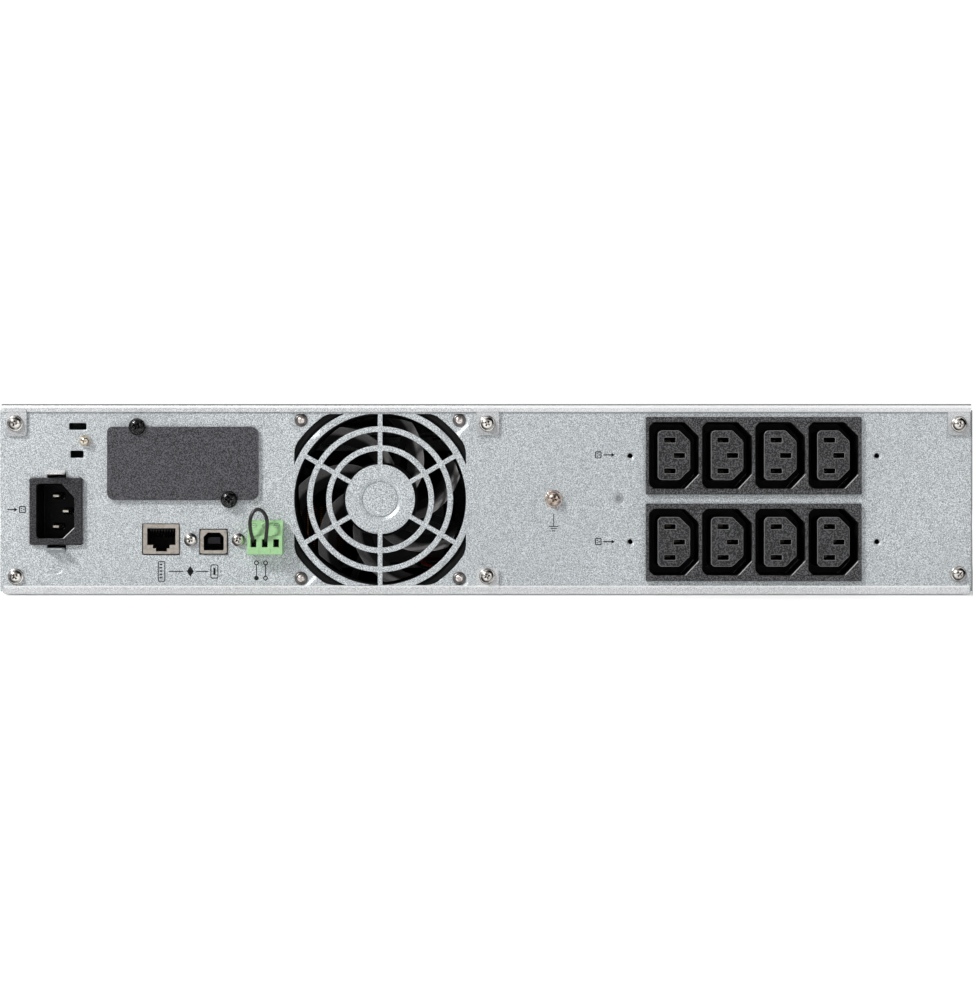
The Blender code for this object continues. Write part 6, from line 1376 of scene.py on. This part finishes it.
def band(v, stops):
    node = nt.nodes.new("ShaderNodeValToRGB")
    e = node.color_ramp.elements
    e[0].position, e[0].color = stops[0][0], (*([stops[0][1]] * 3), 1)
    e[1].position, e[1].color = stops[-1][0], (*([stops[-1][1]] * 3), 1)
    for p, c in stops[1:-1]:
        e.new(p).color = (c, c, c, 1)
    nt.links.new(v, node.inputs["Fac"])
    return node.outputs["Color"]


# what shiny parts mirror: bright boards upper left and lower right, dark room elsewhere and behind the object
diagonal = value("MULTIPLY_ADD", value("ADD", sep.outputs["X"], sep.outputs["Z"]), 0.3536, 0.5)
across = value("MULTIPLY_ADD", value("SUBTRACT", sep.outputs["Z"], sep.outputs["X"]), 0.3536, 0.5)
front = value("MULTIPLY_ADD", sep.outputs["Y"], 0.5, 0.5)
boards = value("MULTIPLY", band(diagonal, ((0.0, 0.0), (0.14, 0.02), (0.34, 0.55), (0.5, 0.75), (0.66, 0.55), (0.86, 0.02), (1.0, 0.0))), band(across, ((0.0, 1.2), (0.3, 0.75), (0.5, 0.42), (0.72, 1.5), (1.0, 2.2))))
boards = value("MULTIPLY", boards, band(front, ((0.0, 1.0), (0.55, 1.0), (0.66, 0.25), (1.0, 0.35))))
mirror = nt.nodes.new("ShaderNodeCombineColor")
for i in range(3):
    nt.links.new(value("MULTIPLY_ADD", boards, 2.0, 0.08), mirror.inputs[i])
mixg = nt.nodes.new("ShaderNodeMix")
mixg.data_type = "RGBA"
nt.links.new(path.outputs["Is Glossy Ray"], mixg.inputs["Factor"])
nt.links.new(mixn.outputs[2], mixg.inputs[6])
nt.links.new(mirror.outputs[0], mixg.inputs[7])
nt.links.new(mixg.outputs[2], bg.inputs["Color"])
bg.inputs["Strength"].default_value = 0.24


def lamp(name, at, target, size, power, colour=(1, 1, 1)):
    d = bpy.data.lights.new(name, "AREA")
    d.shape, d.size, d.size_y = "RECTANGLE", size[0], size[1]
    d.energy, d.color = power, colour
    o = link(name, d)
    o.location = at
    o.rotation_euler = (Vector(target) - Vector(at)).to_track_quat("-Z", "Y").to_euler()
    return o


lamp("key", (-2.0, -2.1, 2.0), (0, -0.2, 0.04), (0.5, 0.5), 89, (1.0, 0.995, 0.985))
lamp("fill", (1.05, -1.55, 0.62), (0.1, -0.2, 0.04), (1.3, 1.0), 4.8, (0.985, 0.99, 1.0))
lamp("top", (0.0, 0.2, 2.2), (0, 0, 0), (2.0, 2.0), 12)
lamp("front_key", (-1.4, 1.7, 1.5), (0, 0.2, 0.04), (0.8, 0.8), 24)

cam = bpy.data.cameras.new("photo_camera")
cam.lens, cam.sensor_width, cam.sensor_fit = 80.0, 36.0, "AUTO"
camera = link("photo_camera", cam)
D = 451.5 * 80.0 / 36.0
camera.location = (0.0, (Y_BACK - D) * MM, (594.6 - 500.0) * 0.4515 * MM)
camera.rotation_euler = (math.radians(90), 0, 0)
cam.clip_start, cam.clip_end = 0.01, 60
bpy.context.scene.camera = camera
bpy.context.scene.view_settings.view_transform = "Standard"
bpy.context.scene.view_settings.look = "None"
